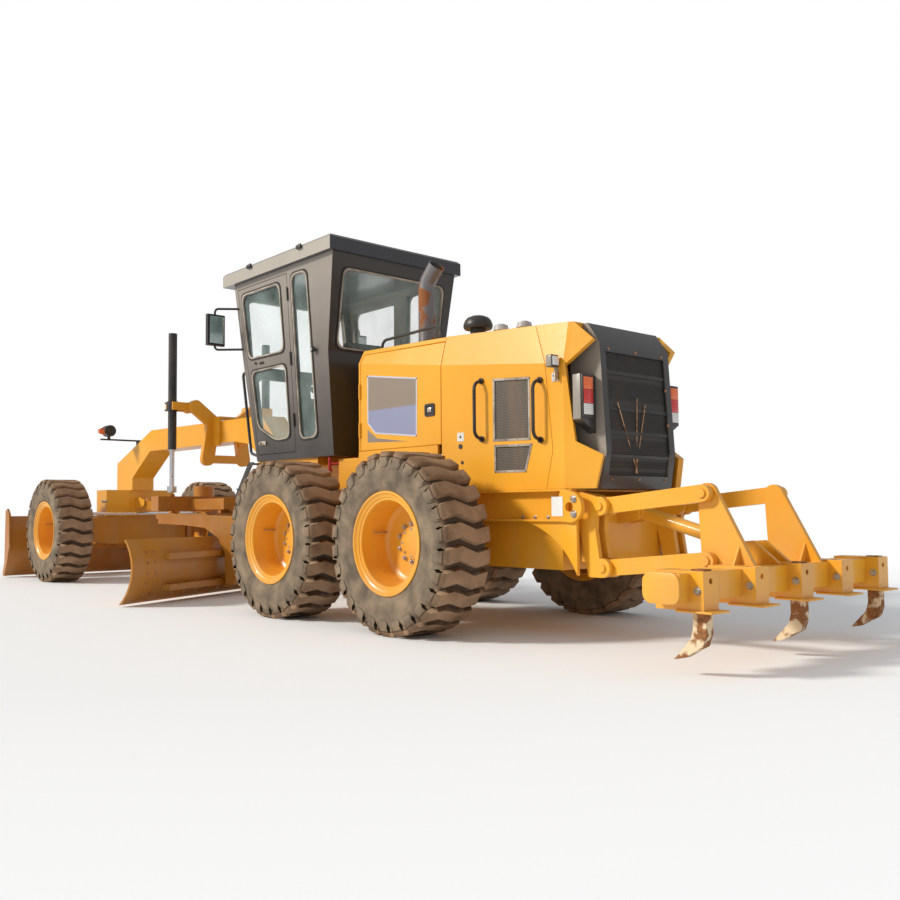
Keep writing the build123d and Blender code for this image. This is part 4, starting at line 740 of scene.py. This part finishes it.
# black tail surround, its recessed wire screen, bars, bolts and three bare wires on the screen
tail = {
    "outline": [(-1.976, 1.017), (-1.720, 1.017), (-1.720, 2.060), (-1.8323, 2.060), (-1.8323, 2.139),
                (-1.877, 2.139), (-1.973, 1.994), (-2.017, 1.260)],
    "middle": [(-1.976, 1.017), (-1.720, 1.017), (-1.720, 2.060), (-1.8323, 2.060), (-1.8323, 2.1385),
               (-1.877, 2.1385), (-1.973, 1.994), (-1.9764, 1.938), (-1.9584, 1.938), (-1.999, 1.260),
               (-1.973, 1.105), (-1.991, 1.105)],
    "screen": [(-1.9574, 1.936), (-1.9620, 1.936), (-2.0022, 1.262), (-1.9768, 1.108), (-1.970, 1.108),
               (-1.996, 1.262)],
    "screenY": -0.338, "screenWide": 0.676, "bars": (1.80, 1.555, 1.395, 1.235), "barHalf": (0.33, 0.011),
    "posts": (-0.334, 0.334), "postHalf": 0.008, "postZ": (1.27, 1.93),
    "bolts": ((-0.30, 1.958), (0.0, 1.958), (0.30, 1.958), (-0.325, 1.72), (-0.325, 1.47), (-0.30, 1.082),
              (0.0, 1.082), (0.30, 1.082)),
    "wires": (((0.24, 1.60), (0.03, 1.125)), ((0.02, 1.64), (0.04, 1.125)), ((-0.07, 1.60), (0.05, 1.125)))}
bm = bmesh.new()
for low, high, outline in ((-0.3395, 0.3395, tail["middle"]), (0.339, 0.390, tail["outline"]),
                           (-0.390, -0.339, tail["outline"])):
    addPlate(bm, outline, lambda x, z, out: at(x, low + out, z), high - low)
surround = finishPiece("tail.surround", bm, "rear_frame", "surround", "fittings_black")
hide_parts("grilles")
bm = bmesh.new()
addPlate(bm, tail["screen"], lambda x, z, out: at(x, tail["screenY"] + out, z), tail["screenWide"])
finishPiece("tail.screen", bm, "rear_frame", "tailMesh", "fittings_black")


def screenFace(y, z, out):
    x = -1.9764 - (1.938 - z) * 0.06 if z > 1.262 else -2.017 + (1.262 - z) * 0.167
    return at(x + 0.012 - out, y, z)


bm = bmesh.new()
wide, high = tail["barHalf"]
for z in tail["bars"]:
    addPlate(bm, rectangle(-wide, wide, z - high, z + high), screenFace, 0.004)
for y in tail["posts"]:
    addPlate(bm, rectangle(y - tail["postHalf"], y + tail["postHalf"], *tail["postZ"]), screenFace, 0.010)
finishPiece("tail.bars", bm, "rear_frame", "black", "fittings_black")
bm = bmesh.new()
for y, z in tail["bolts"]:
    addBolt(bm, screenFace(y, z, 0.012), (-1, 0, 0), 0.008, 0.006)
for start, end in tail["wires"]:
    addRod(bm, screenFace(*start, 0.014), screenFace(*end, 0.014), 0.0035, 8)
finishPiece("tail.bolts", bm, "rear_frame", "copper", "engine_iron")

# tail lamps on wedges, work lamps on brackets
lamps = {
    "wedge": [(0.389, 1.385), (0.389, 1.775), (0.548, 1.775), (0.548, 1.475)],
    "wedgeX": -1.868, "wedgeDeep": 0.067,
    # each box: mesh, place along, distance and half width across, heights, rounding
    "boxes": (("bezels", (-1.951, -1.936), 0.485, 0.060, (1.480, 1.772), 0.005),
              ("amber", (-1.957, -1.945), 0.4895, 0.046, (1.672, 1.754), 0.003),
              ("red", (-1.957, -1.945), 0.4895, 0.046, (1.578, 1.670), 0.003),
              ("clear", (-1.957, -1.945), 0.4895, 0.046, (1.504, 1.576), 0.003),
              ("housings", (-1.778, -1.722), 0.609, 0.041, (1.830, 1.915), 0.012, 3),
              ("clear", (-1.784, -1.776), 0.609, 0.030, (1.842, 1.903), 0.003),
              ("brackets", (-1.765, -1.757), 0.580, 0.021, (1.750, 1.832)),
              ("brackets", (-1.765, -1.705), 0.562, 0.003, (1.742, 1.800))),
    "bolts": ((-1.745, 1.757), (-1.722, 1.785)), "boltY": 0.565,
    "looks": {"housings": ("surround", "fittings_black"), "bezels": ("black", "fittings_black"),
              "amber": ("lensAmber", "fittings_black"), "red": ("lensRed", "fittings_black"),
              "clear": ("lensWhite", "cab_glass"), "brackets": ("steel", "rod_chrome")}}
meshes = {name: bmesh.new() for name in lamps["looks"]}
for side, sign in sides:
    addPlate(meshes["housings"], lamps["wedge"], lambda y, z, out: at(lamps["wedgeX"] - out, sign * y, z),
             lamps["wedgeDeep"], 0.004)
    for name, *box in lamps["boxes"]:
        addSideBox(meshes[name], sign, *box)
    for x, z in lamps["bolts"]:
        addBolt(meshes["brackets"], at(x, sign * lamps["boltY"], z), (0, sign, 0), 0.008)
lampPieces = {name: finishPiece(f"lamp.{name}", meshes[name], "rear_frame", *look)
              for name, look in lamps["looks"].items()}
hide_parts("rear_lamps")


def roundedCorner(before, point, after, corner):
    start = point + (before - point).normalized() * corner
    end = point + (after - point).normalized() * corner
    return interpolate_bezier(start, start.lerp(point, 0.6), end.lerp(point, 0.6), end, 6)


def addBentRod(bm, points, radius, corner, segments=10):
    # a rod along a bent line: the line's corners are rounded, then a ring is drawn along it
    path = [points[0]]
    for trio in zip(points, points[1:], points[2:]):
        path += roundedCorner(*trio, corner)
    path.append(points[-1])
    part = bmesh.new()
    ring = bmesh.ops.create_circle(part, segments=segments, radius=radius)["verts"]
    shape = [vert.co.copy() for vert in ring]
    part.free()
    across = (path[1] - path[0]).to_track_quat("Z", "Y") @ Vector((1, 0, 0))
    rows = []
    for index, point in enumerate(path):
        ahead = (path[min(index + 1, len(path) - 1)] - path[max(index - 1, 0)]).normalized()
        across = (across - ahead * across.dot(ahead)).normalized()
        up = ahead.cross(across)
        rows.append([point + across * co.x + up * co.y for co in shape])
    part = bmesh.new()
    addLoft(part, rows)
    joinInto(bm, part)


# bow handles, hand rail, intake dome and filler caps on the hood
handles = {"rows": ((-1.035, 1.395, 1.820), (-1.600, 1.355, 1.765)), "out": 0.640, "radius": 0.0125,
           "corner": 0.055, "drop": 0.012, "footRadius": 0.022, "footLength": 0.016, "railCorner": 0.045,
           "rail": ((0.305, 0.42, 2.235), (0.285, 0.42, 2.325), (-0.430, 0.42, 2.345), (-0.470, 0.42, 2.215))}
intake = {"foot": (-0.640, 0.2, 2.21), "neck": (-0.640, 0.2, 2.315), "neckRadius": 0.062,
          "middle": (-0.640, 0.2, 2.335),
          "profile": ((-0.028, 0.0), (-0.028, 0.108), (-0.012, 0.116), (0.008, 0.116), (0.040, 0.104),
                      (0.062, 0.084), (0.076, 0.050), (0.079, 0.0))}
# each step of a cap: from and to above the hood, radius low and high
caps = {"places": (-0.890, -1.130), "y": 0.2,
        "steps": ((-0.004, 0.060, 0.036, 0.036), (0.056, 0.095, 0.062, 0.052), (0.093, 0.105, 0.040, 0.030))}
bm = bmesh.new()
for side, sign in sides:
    for x, low, high in handles["rows"]:
        ends = [hoodReach(x, z) for z in (low, high)]
        out, drop = sign * handles["out"], handles["drop"]
        addBentRod(bm, [at(x, sign * (ends[0] - 0.004), low), at(x, out, low + drop), at(x, out, high - drop),
                        at(x, sign * (ends[1] - 0.004), high)], handles["radius"], handles["corner"])
        for z, end in zip((low, high), ends):
            foot = at(x, sign * end, z)
            addRod(bm, foot, foot + Vector((0, sign * handles["footLength"], 0)), handles["footRadius"])
addBentRod(bm, [at(*point) for point in handles["rail"]], handles["radius"], handles["railCorner"])
addRod(bm, at(*intake["foot"]), at(*intake["neck"]), intake["neckRadius"], 24)
dome = bmesh.new()
addSpun(dome, intake["profile"], 32)
bmesh.ops.rotate(dome, cent=(0, 0, 0), matrix=Matrix.Rotation(pi / 2, 3, "X"), verts=dome.verts[:])
bmesh.ops.translate(dome, vec=at(*intake["middle"]), verts=dome.verts[:])
joinInto(bm, dome)
fittings = finishPiece("hood.handles", bm, "rear_frame", "black", "fittings_black")
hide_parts("hood_fittings")
bm = bmesh.new()
for x in caps["places"]:
    level = hoodLevel(hood["top"], x)
    for low, high, radius, topRadius in caps["steps"]:
        addRod(bm, at(x, caps["y"], level + low), at(x, caps["y"], level + high), radius, 20, topRadius)
finishPiece("hood.caps", bm, "rear_frame", "greyPlastic", "fittings_black")

# small blank plates and plugs on the near side
smallParts = {"plate": rectangle(-0.770, -0.842, 1.392, 1.458),
              "reflector": rectangle(-1.815, -1.720, 0.835, 0.965),
              "reflectorY": 0.600,
              "plugs": ((-0.805, 1.354, 0.020), (-0.823, 1.233, 0.013), (-0.806, 1.425, 0.010))}
bm, plugs = bmesh.new(), bmesh.new()
addPlate(bm, smallParts["plate"], onLeft, 0.002)
addPlate(bm, smallParts["reflector"], lambda x, z, out: at(x, smallParts["reflectorY"] + out, z), 0.003)
finishPiece("blankPlates", bm, "rear_frame", "whitePlate", "cab_grey")
for x, z, radius in smallParts["plugs"]:
    addPeg(plugs, onLeft, (x, z), -0.004, 0.003, radius)
finishPiece("sidePlugs", plugs, "rear_frame", "black", "fittings_black")
print("hood and tail made")

# cab: its walls lean, and seals run round the panes
cab = {"floorHalf": 0.630, "floorZ": 1.360, "flare": 0.09 / 1.77, "rearTop": (0.733, 2.280, 0.600, 3.130),
       "frontTop": (2.155, 2.280, 2.280, 3.130), "frontLow": (1.985, 1.360, 2.155, 2.280)}
doorPanes = [[(1.425, 2.365), (1.460, 3.010), (2.145, 3.010), (2.050, 2.365)],
             [(1.385, 1.560), (1.410, 2.240), (2.020, 2.240), (1.935, 1.690), (1.620, 1.545)]]
quarterPane = [(0.945, 1.540), (1.010, 3.040), (1.262, 3.045), (1.212, 1.530)]
endPane = rectangle(-0.590, 0.590, 2.310, 3.000)
lowPane = {"y": (0.060, 0.550), "z": (1.520, 2.200)}


def offsetOutline(outline, amount):
    points = [Vector(point) for point in outline]
    turn = sum(a.x * b.y - b.x * a.y for a, b in zip(points, points[1:] + points[:1]))
    side = 1 if turn > 0 else -1
    moved = []
    for before, point, after in zip(points[-1:] + points[:-1], points, points[1:] + points[:1]):
        ahead, onward = (point - before).normalized(), (after - point).normalized()
        first, second = Vector((ahead.y, -ahead.x)) * side, Vector((onward.y, -onward.x)) * side
        moved.append(point + (first + second) * amount / (1.0 + first.dot(second)))
    return moved


def roundedOutline(outline, corner):
    points = [Vector(point).to_3d() for point in outline]
    rounded = []
    for trio in zip(points[-1:] + points[:-1], points, points[1:] + points[:1]):
        rounded += roundedCorner(*trio, corner)
    return rounded


def addRing(bm, outline, toPlace, outer, inner, low, high):
    # each of outer and inner: how far outside the outline, size of its corners
    part = bmesh.new()
    edges = []
    for offset, corner in (outer, inner):
        spots = roundedOutline(offsetOutline(outline, offset), corner)
        verts = [part.verts.new(toPlace(spot.x, spot.y, low)) for spot in spots]
        edges += [part.edges.new(pair) for pair in zip(verts, verts[1:] + verts[:1])]
    bmesh.ops.bridge_loops(part, edges=edges)
    thicken(part, (toPlace(*outline[0], 1.0) - toPlace(*outline[0], 0.0)) * (high - low))
    joinInto(bm, part)


def leaning(wall, sign):
    # a place on the cab's front or rear wall, which leans between two heights
    x1, z1, x2, z2 = wall
    return lambda y, z, out: at(x1 + (z - z1) * (x2 - x1) / (z2 - z1) + sign * out, y, z)


sealRows = [("frontRear", "front_frame", endPane, leaning(cab["rearTop"], -1)),
            ("frontRear", "front_frame", endPane, leaning(cab["frontTop"], 1))]
for sign in (1, -1):
    pane = rectangle(sign * lowPane["y"][0], sign * lowPane["y"][1], *lowPane["z"])
    sealRows.append(("frontRear", "front_frame", pane, leaning(cab["frontLow"], 1)))


def onCab(sign):
    return lambda x, z, out: at(x, sign * (cab["floorHalf"] + cab["flare"] * (z - cab["floorZ"]) + out), z)


for side, sign in sides:
    sealRows += [(f"door.{side}", f"cab_door_{side}", pane, onCab(sign)) for pane in doorPanes]
    sealRows.append((f"quarter.{side}", "front_frame", quarterPane, onCab(sign)))
# for each seal: outer and inner edge (offset, corner), from and to off the pane
sealForms = {"dark": ((0.018, 0.075), (-0.006, 0.080), -0.004, 0.006),
             "pale": ((0.004, 0.075), (-0.009, 0.080), -0.006, 0.009)}
for group in dict.fromkeys(row[0] for row in sealRows):
    dark, pale = bmesh.new(), bmesh.new()
    for name, body, pane, toPlace in sealRows:
        if name == group:
            addRing(dark, pane, toPlace, *sealForms["dark"])
            addRing(pale, pane, toPlace, *sealForms["pale"])
            rides = body
    finishPiece(f"sealDark.{group}", dark, rides, "blackRubber", "fittings_black")
    finishPiece(f"sealPale.{group}", pale, rides, "seal", "fittings_black")

# door handles and studs, knobs by the doors, lashing points at the roof, mirrors
cabFittings = {"handle": rectangle(1.800, 1.905, 1.510, 1.550), "lock": (1.885, 1.530),
               "studs": ((1.80, 2.303), (1.84, 2.303), (1.93, 2.312)), "knob": (0.923, 2.309),
               # each box at the roof: half length, distance and half width across, heights, rounding
               "roofPlaces": (1.029, 1.891),
               "roofBoxes": ((0.035, 0.784, 0.014, (3.222, 3.258), 0.006),
                             (0.022, 0.778, 0.006, (3.252, 3.270), 0.004)),
               "mirrorY": (0.815, 0.975), "mirrorZ": (2.540, 2.810), "mirrorX": 2.317, "mirrorThick": 0.004}
for side, sign in sides:
    place, knob = onCab(sign), cabFittings["knob"]
    bm = bmesh.new()
    addPlate(bm, cabFittings["handle"], place, 0.014, 0.005)
    addPeg(bm, place, cabFittings["lock"], 0.0, 0.030, 0.013)
    finishPiece(f"doorHandle.{side}", bm, f"cab_door_{side}", "steel", "rod_chrome")
    bm = bmesh.new()
    for spot in cabFittings["studs"]:
        addPeg(bm, place, spot, -0.002, 0.014, 0.011, 12)
    finishPiece(f"doorStuds.{side}", bm, f"cab_door_{side}", "black", "fittings_black")
    bm = bmesh.new()
    addPeg(bm, place, knob, -0.002, 0.030, 0.013)
    addPeg(bm, place, knob, 0.026, 0.044, 0.030, 20, 0.022)
    for x in cabFittings["roofPlaces"]:
        for half, *box in cabFittings["roofBoxes"]:
            addSideBox(bm, sign, (x - half, x + half), *box)
    finishPiece(f"cabKnobs.{side}", bm, "front_frame", "black", "fittings_black")
    bm = bmesh.new()
    addPeg(bm, place, knob, 0.043, 0.049, 0.014)
    finishPiece(f"cabKnobFace.{side}", bm, "front_frame", "steel", "rod_chrome")
    bm = bmesh.new()
    addPlate(bm, rectangle(*[sign * y for y in cabFittings["mirrorY"]], *cabFittings["mirrorZ"]),
             lambda y, z, out: at(cabFittings["mirrorX"] - out, y, z), cabFittings["mirrorThick"])
    finishPiece(f"mirrorGlass.{side}", bm, "front_frame", "mirror", "cab_glass")

# seat: two stuffed pads on a plain pedestal
seat = {
    "voxel": 0.007, "pressure": 4.0, "cap": 0.014, "frames": 20, "rounding": 0.035,
    # each channel: axis, place on it, depth, half width
    "pads": {"cushion": ((1.055, -0.235, 1.735), (1.535, 0.235, 1.840),
                         ((1, -0.14, 0.010, 0.014), (1, 0.14, 0.010, 0.014))),
             "back": ((1.055, -0.225, 1.875), (1.160, 0.225, 2.470),
                      ((1, -0.13, 0.010, 0.014), (1, 0.13, 0.010, 0.014), (2, 2.20, 0.012, 0.016)))},
    "base": ((1.10, -0.18, 1.402), (1.48, 0.18, 1.440)), "stay": ((1.075, -0.05, 1.70), (1.095, 0.05, 1.95)),
    # the pedestal: half width and height of each section
    "middle": 1.29, "sections": ((0.12, 1.435), (0.09, 1.50), (0.09, 1.62), (0.17, 1.70), (0.17, 1.722))}


def makePad(name, low, high, channels):
    bm = bmesh.new()
    addBox(bm, low, high, seat["rounding"], 4)
    pad = finishPiece(name, bm, "front_frame", "seatCloth", "cab_interior_black", 60.0)
    remesh = pad.modifiers.new("remesh", "REMESH")
    remesh.mode = "VOXEL"
    remesh.voxel_size = seat["voxel"]
    bakeModifiers(pad)
    start = [vert.co.copy() for vert in pad.data.vertices]
    cloth = pad.modifiers.new("cloth", "CLOTH")
    cloth.settings.use_pressure = True
    cloth.settings.uniform_pressure_force = seat["pressure"]
    cloth.settings.effector_weights.gravity = 0.0
    for step in range(1, seat["frames"] + 1):
        scene.frame_set(step)
    bakeModifiers(pad)
    scene.frame_set(1)
    for vert, origin in zip(pad.data.vertices, start):
        move = vert.co - origin
        if move.length > seat["cap"]:
            vert.co = origin + move.normalized() * seat["cap"]
    # sewn channels pull the cover in along lines across the pad
    middle = (Vector(low) + Vector(high)) / 2
    for axis, spot, depth, width in channels:
        for vert in pad.data.vertices:
            near = abs(vert.co[axis] - spot) / width
            if near < 1.0:
                vert.co += (middle - vert.co).normalized() * depth * (1.0 - near) ** 2
    pad.modifiers.new("smooth", "SUBSURF").levels = 1
    pad.modifiers["smooth"].render_levels = 1
    bakeModifiers(pad)
    pad.data.shade_smooth()


def bakeModifiers(piece):
    bpy.context.view_layer.update()
    shaped = piece.evaluated_get(bpy.context.evaluated_depsgraph_get())
    baked = bpy.data.meshes.new_from_object(shaped)
    piece.modifiers.clear()
    piece.data = baked
    if not baked.materials:
        baked.materials.append(finishes["seatCloth"])


for name, (low, high, channels) in seat["pads"].items():
    makePad(f"seat.{name}", at(*low), at(*high), channels)
bm = bmesh.new()
addBox(bm, *[at(*corner) for corner in seat["base"]], 0.006)
addLoft(bm, [[at(seat["middle"] + x * half, y * half, z) for x, y in ((-1, -1), (1, -1), (1, 1), (-1, 1))]
             for half, z in seat["sections"]])
addBox(bm, *[at(*corner) for corner in seat["stay"]], 0.004)
pedestal = finishPiece("seat.pedestal", bm, "front_frame", "interior", "cab_interior_black")
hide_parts("seat")
print("cab dressed")

# fasteners stand on the CAD surface that a ray meets; a ray that meets nothing stops the script
depsgraph = bpy.context.evaluated_depsgraph_get()
surfaces = {}


def seatOn(node, start, direction):
    if node not in surfaces:
        surfaces[node] = BVHTree.FromObject(nodes[node], depsgraph)
    return surfaces[node].ray_cast(Vector(start), Vector(direction).normalized(), 1.6)[0]


def addBoltRow(bm, node, starts, direction, radius, height=None):
    for start in starts:
        addBolt(bm, seatOn(node, start, direction), -Vector(direction), radius, height)


# each row of bolts: places along and up, radius, height; the gusset's curve is (along, up)
chassis = {"rows": ((((-1.905, 0.948), (-1.905, 0.850)), 0.019, 0.016),
                    ([(-1.40 - 0.115 * step, 0.828) for step in range(4)], 0.010, None),
                    ([(0.30 - 0.16 * step, 1.04) for step in range(3)], 0.009, None)),
           "gusset": ((-1.450, 0.802), (-1.64, 0.745), (-1.80, 0.66), (-1.905, 0.446)),
           "gussetCorner": (-1.905, 0.802),
           "gussetY": 0.545, "gussetThick": 0.028}
bm = bmesh.new()
for side, sign in sides:
    for spots, radius, height in chassis["rows"]:
        addBoltRow(bm, "rear_chassis", [at(x, sign, z) for x, z in spots], (0, -sign, 0), radius, height)
finishPiece("chassis.bolts", bm, "rear_frame", "steel", "rod_chrome")

# red lock bar, carried by the rear frame just under the cab's floor
lockBar = {"x": 0.815, "y": 0.600, "ends": (1.215, 1.350), "collar": (1.225, 1.245), "radii": (0.016, 0.024),
           "lugFrom": (0.815, 0.55, 1.29), "lugZ": 1.290, "lugRadius": 0.012, "sunk": 0.004}
bm = bmesh.new()
onBar = lambda z: at(lockBar["x"], lockBar["y"], z)
for (low, high), radius in zip((lockBar["ends"], lockBar["collar"]), lockBar["radii"]):
    addRod(bm, onBar(low), onBar(high), radius)
foot = seatOn("rear_chassis", at(*lockBar["lugFrom"]), (-1, 0, 0))
addRod(bm, onBar(lockBar["lugZ"]), foot - Vector((lockBar["sunk"], 0, 0)), lockBar["lugRadius"])
finishPiece("lockBar", bm, "rear_frame", "redBar", "machine_yellow")
bm = bmesh.new()
for side, sign in sides:
    arc = interpolate_bezier(*[at(x, 0.0, z) for x, z in chassis["gusset"]], 10)
    corner = at(chassis["gussetCorner"][0], 0.0, chassis["gussetCorner"][1])
    addPlate(bm, [(point.x, point.z) for point in arc + [corner]],
             lambda x, z, out: Vector((x, sign * (chassis["gussetY"] + out), z)),
             chassis["gussetThick"], 0.002)
finishPiece("chassis.gussets", bm, "rear_frame", "yellow", "machine_yellow")

# ripper: gussets at the uprights, end guards, pocket lips, pin heads
ripper = {"pockets": (-1.02, -0.51, 0.0, 0.51, 1.02), "lipX": (-3.205, -2.990), "lipHalf": 0.088,
          "lipZ": (0.341, 0.353), "pin": (-3.115, 0.19, 0.455), "guardCorner": 0.055, "guardY": 1.179,
          "guard": rectangle(-3.075, -2.850, 0.385, 0.550), "guardThick": 0.016,
          "uprightY": 0.435, "uprightClear": 0.30, "gussetX": -2.960, "gussetZ": (0.543, 0.665),
          "gussetReach": 0.075, "gussetThick": 0.014}
bm, pins = bmesh.new(), bmesh.new()
for y in ripper["pockets"]:
    addSideBox(bm, 1, ripper["lipX"], y, ripper["lipHalf"], ripper["lipZ"], 0.003)
    for side, sign in sides:
        x, clear, z = ripper["pin"]
        addBoltRow(pins, "ripper_beam", [at(x, y + sign * clear, z)], (0, -sign, 0), 0.017, 0.014)
for side, sign in sides:
    addPlate(bm, [(p.x, p.y) for p in roundedOutline(ripper["guard"], ripper["guardCorner"])],
             lambda x, z, out: at(x, sign * (ripper["guardY"] + out), z), ripper["guardThick"], 0.003)
    for face in (-1, 1):
        y = sign * (ripper["uprightY"] + face * ripper["uprightClear"])
        foot = seatOn("ripper_beam", at(ripper["gussetX"], y, 0.640), (0, -sign * face, 0))
        start, reach = foot.y - sign * face * 0.002, foot.y + sign * face * ripper["gussetReach"]
        low, high = ripper["gussetZ"]
        addPlate(bm, [(start, low), (reach, low), (start, high)],
                 lambda y, z, out: at(ripper["gussetX"] + out, y, z), ripper["gussetThick"])
finishPiece("ripper.guards", bm, "ripper", "yellow", "machine_yellow")
finishPiece("ripper.pins", pins, "ripper", "steel", "rod_chrome")

# moldboard: bolts by its left end and along the cutting edge, seen from behind
blade = {"middle": (3.700, 0.0), "along": (-0.428935, 0.903335), "endRows": (0.055, 0.165), "back": 0.9,
         "endHeights": (0.10, 0.20, 0.30, 0.40, 0.50), "edgeZ": 0.085, "edgeShare": 1.7, "edgeStep": 0.19}
along = Vector((*blade["along"], 0.0))
backward = Vector((-blade["along"][1], blade["along"][0], 0.0))
middle = at(*blade["middle"], 0.0)
reach = (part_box("moldboard")[1][1] - middle.y) / along.y
steps = int(blade["edgeShare"] * reach / blade["edgeStep"])
behind = middle + backward * blade["back"]
bm = bmesh.new()
endStarts = [behind + along * (reach - inset) + Vector((0, 0, z))
             for inset in blade["endRows"] for z in blade["endHeights"]]
edgeStarts = [behind + along * (step - steps / 2) * blade["edgeStep"] + Vector((0, 0, blade["edgeZ"]))
              for step in range(steps)]
addBoltRow(bm, "moldboard", endStarts, -backward, 0.011, 0.008)
addBoltRow(bm, "moldboard", edgeStarts, -backward, 0.012, 0.008)
finishPiece("moldboard.bolts", bm, "moldboard", "copper", "engine_iron")

# direction lamps beside the driving lamps, and bolts on the near side of the lift yoke and front axle
front = {"lamp": ((6.045, 0.500, 1.945), (6.045, 0.585, 1.940)), "lampRadii": (0.050, 0.030),
         "yoke": ((3.80, 2.03), (3.80, 2.11), (3.93, 2.03), (3.93, 2.11)),
         "axle": (6.02, 6.08, 6.14), "axleZ": 1.02}
bm = bmesh.new()
for side, sign in sides:
    start, end = [at(x, sign * y, z) for x, y, z in front["lamp"]]
    addRod(bm, start, end, front["lampRadii"][0], 20, front["lampRadii"][1])
finishPiece("frontLamps.amber", bm, "front_frame", "lensAmber", "fittings_black")
bm = bmesh.new()
addBoltRow(bm, "lift_saddle", [at(x, 1.1, z) for x, z in front["yoke"]], (0, -1, 0), 0.012)
addBoltRow(bm, "gooseneck", [at(x, 1.0, front["axleZ"]) for x in front["axle"]], (0, -1, 0), 0.016)
finishPiece("front.bolts", bm, "front_frame", "steel", "rod_chrome")
print("fittings made")

# camera, sun, sky and floor
eye = bpy.data.cameras.new("photoCamera")
eye.lens = camera["lens"]
eye.sensor_width = 36.0
eye.shift_x, eye.shift_y = camera["shift"]
viewer = bpy.data.objects.new("photoCamera", eye)
columns = [Vector(camera["right"]), Vector(camera["up"]), -Vector(camera["ahead"])]
viewer.matrix_world = Matrix.Translation(camera["place"]) @ Matrix(columns).transposed().to_4x4()
scene.collection.objects.link(viewer)
scene.camera = viewer

sun = bpy.data.lights.new("softSun", "SUN")
sun.energy = light["sunStrength"]
sun.angle = radians(light["sunAngle"])
sun.color = light["sunColour"]
sunHolder = bpy.data.objects.new("softSun", sun)
sunHolder.rotation_euler = Vector(light["sunFrom"]).to_track_quat("Z", "Y").to_euler()
scene.collection.objects.link(sunHolder)

sky = bpy.data.worlds.new("studioSky")
sky.use_nodes = True
skyTree = sky.node_tree
skyTree.nodes.clear()
rays = skyTree.nodes.new("ShaderNodeLightPath")
seen = skyTree.nodes.new("ShaderNodeMath")
seen.operation = "MAXIMUM"
skyTree.links.new(rays.outputs["Is Camera Ray"], seen.inputs[0])
skyTree.links.new(rays.outputs["Is Transmission Ray"], seen.inputs[1])
level = skyTree.nodes.new("ShaderNodeMapRange")
level.inputs["To Min"].default_value = light["skyStrength"]
level.inputs["To Max"].default_value = 1.0
skyTree.links.new(seen.outputs[0], level.inputs["Value"])
glow = skyTree.nodes.new("ShaderNodeBackground")
glow.inputs["Color"].default_value = (1.0, 1.0, 1.0, 1.0)
skyTree.links.new(level.outputs[0], glow.inputs["Strength"])
ending = skyTree.nodes.new("ShaderNodeOutputWorld")
skyTree.links.new(glow.outputs[0], ending.inputs["Surface"])
scene.world = sky

floorFinish = Finish("paleFloor", Roughness=0.9, Base_Color=light["floorColour"], Specular_IOR_Level=0.1)
farAway = floorFinish.node("ShaderNodeVectorMath", {"operation": "LENGTH"}, {
    0: floorFinish.node("ShaderNodeTexCoord", output="Object")}, output="Value")
white = floorFinish.node("ShaderNodeEmission", None, {"Color": (1.0, 1.0, 1.0, 1.0), "Strength": 1.0})
fade = floorFinish.spread(farAway, light["fadeFrom"], light["fadeTo"])
floorMix = floorFinish.node("ShaderNodeMixShader", None, {
    0: fade, 1: Signal(floorFinish, floorFinish.shader.outputs[0]), 2: white})
floorFinish.tree.links.new(floorMix.socket, floorFinish.tree.nodes["Material Output"].inputs["Surface"])
bm = bmesh.new()
bmesh.ops.create_grid(bm, x_segments=1, y_segments=1, size=light["floorSize"] / 2)
floorMesh = bpy.data.meshes.new("studioFloor")
bm.to_mesh(floorMesh)
bm.free()
floorMesh.materials.append(floorFinish.material)
studioFloor = bpy.data.objects.new("studioFloor", floorMesh)
scene.collection.objects.link(studioFloor)
scene.view_settings.view_transform = "Standard"
print("camera, light and floor set")
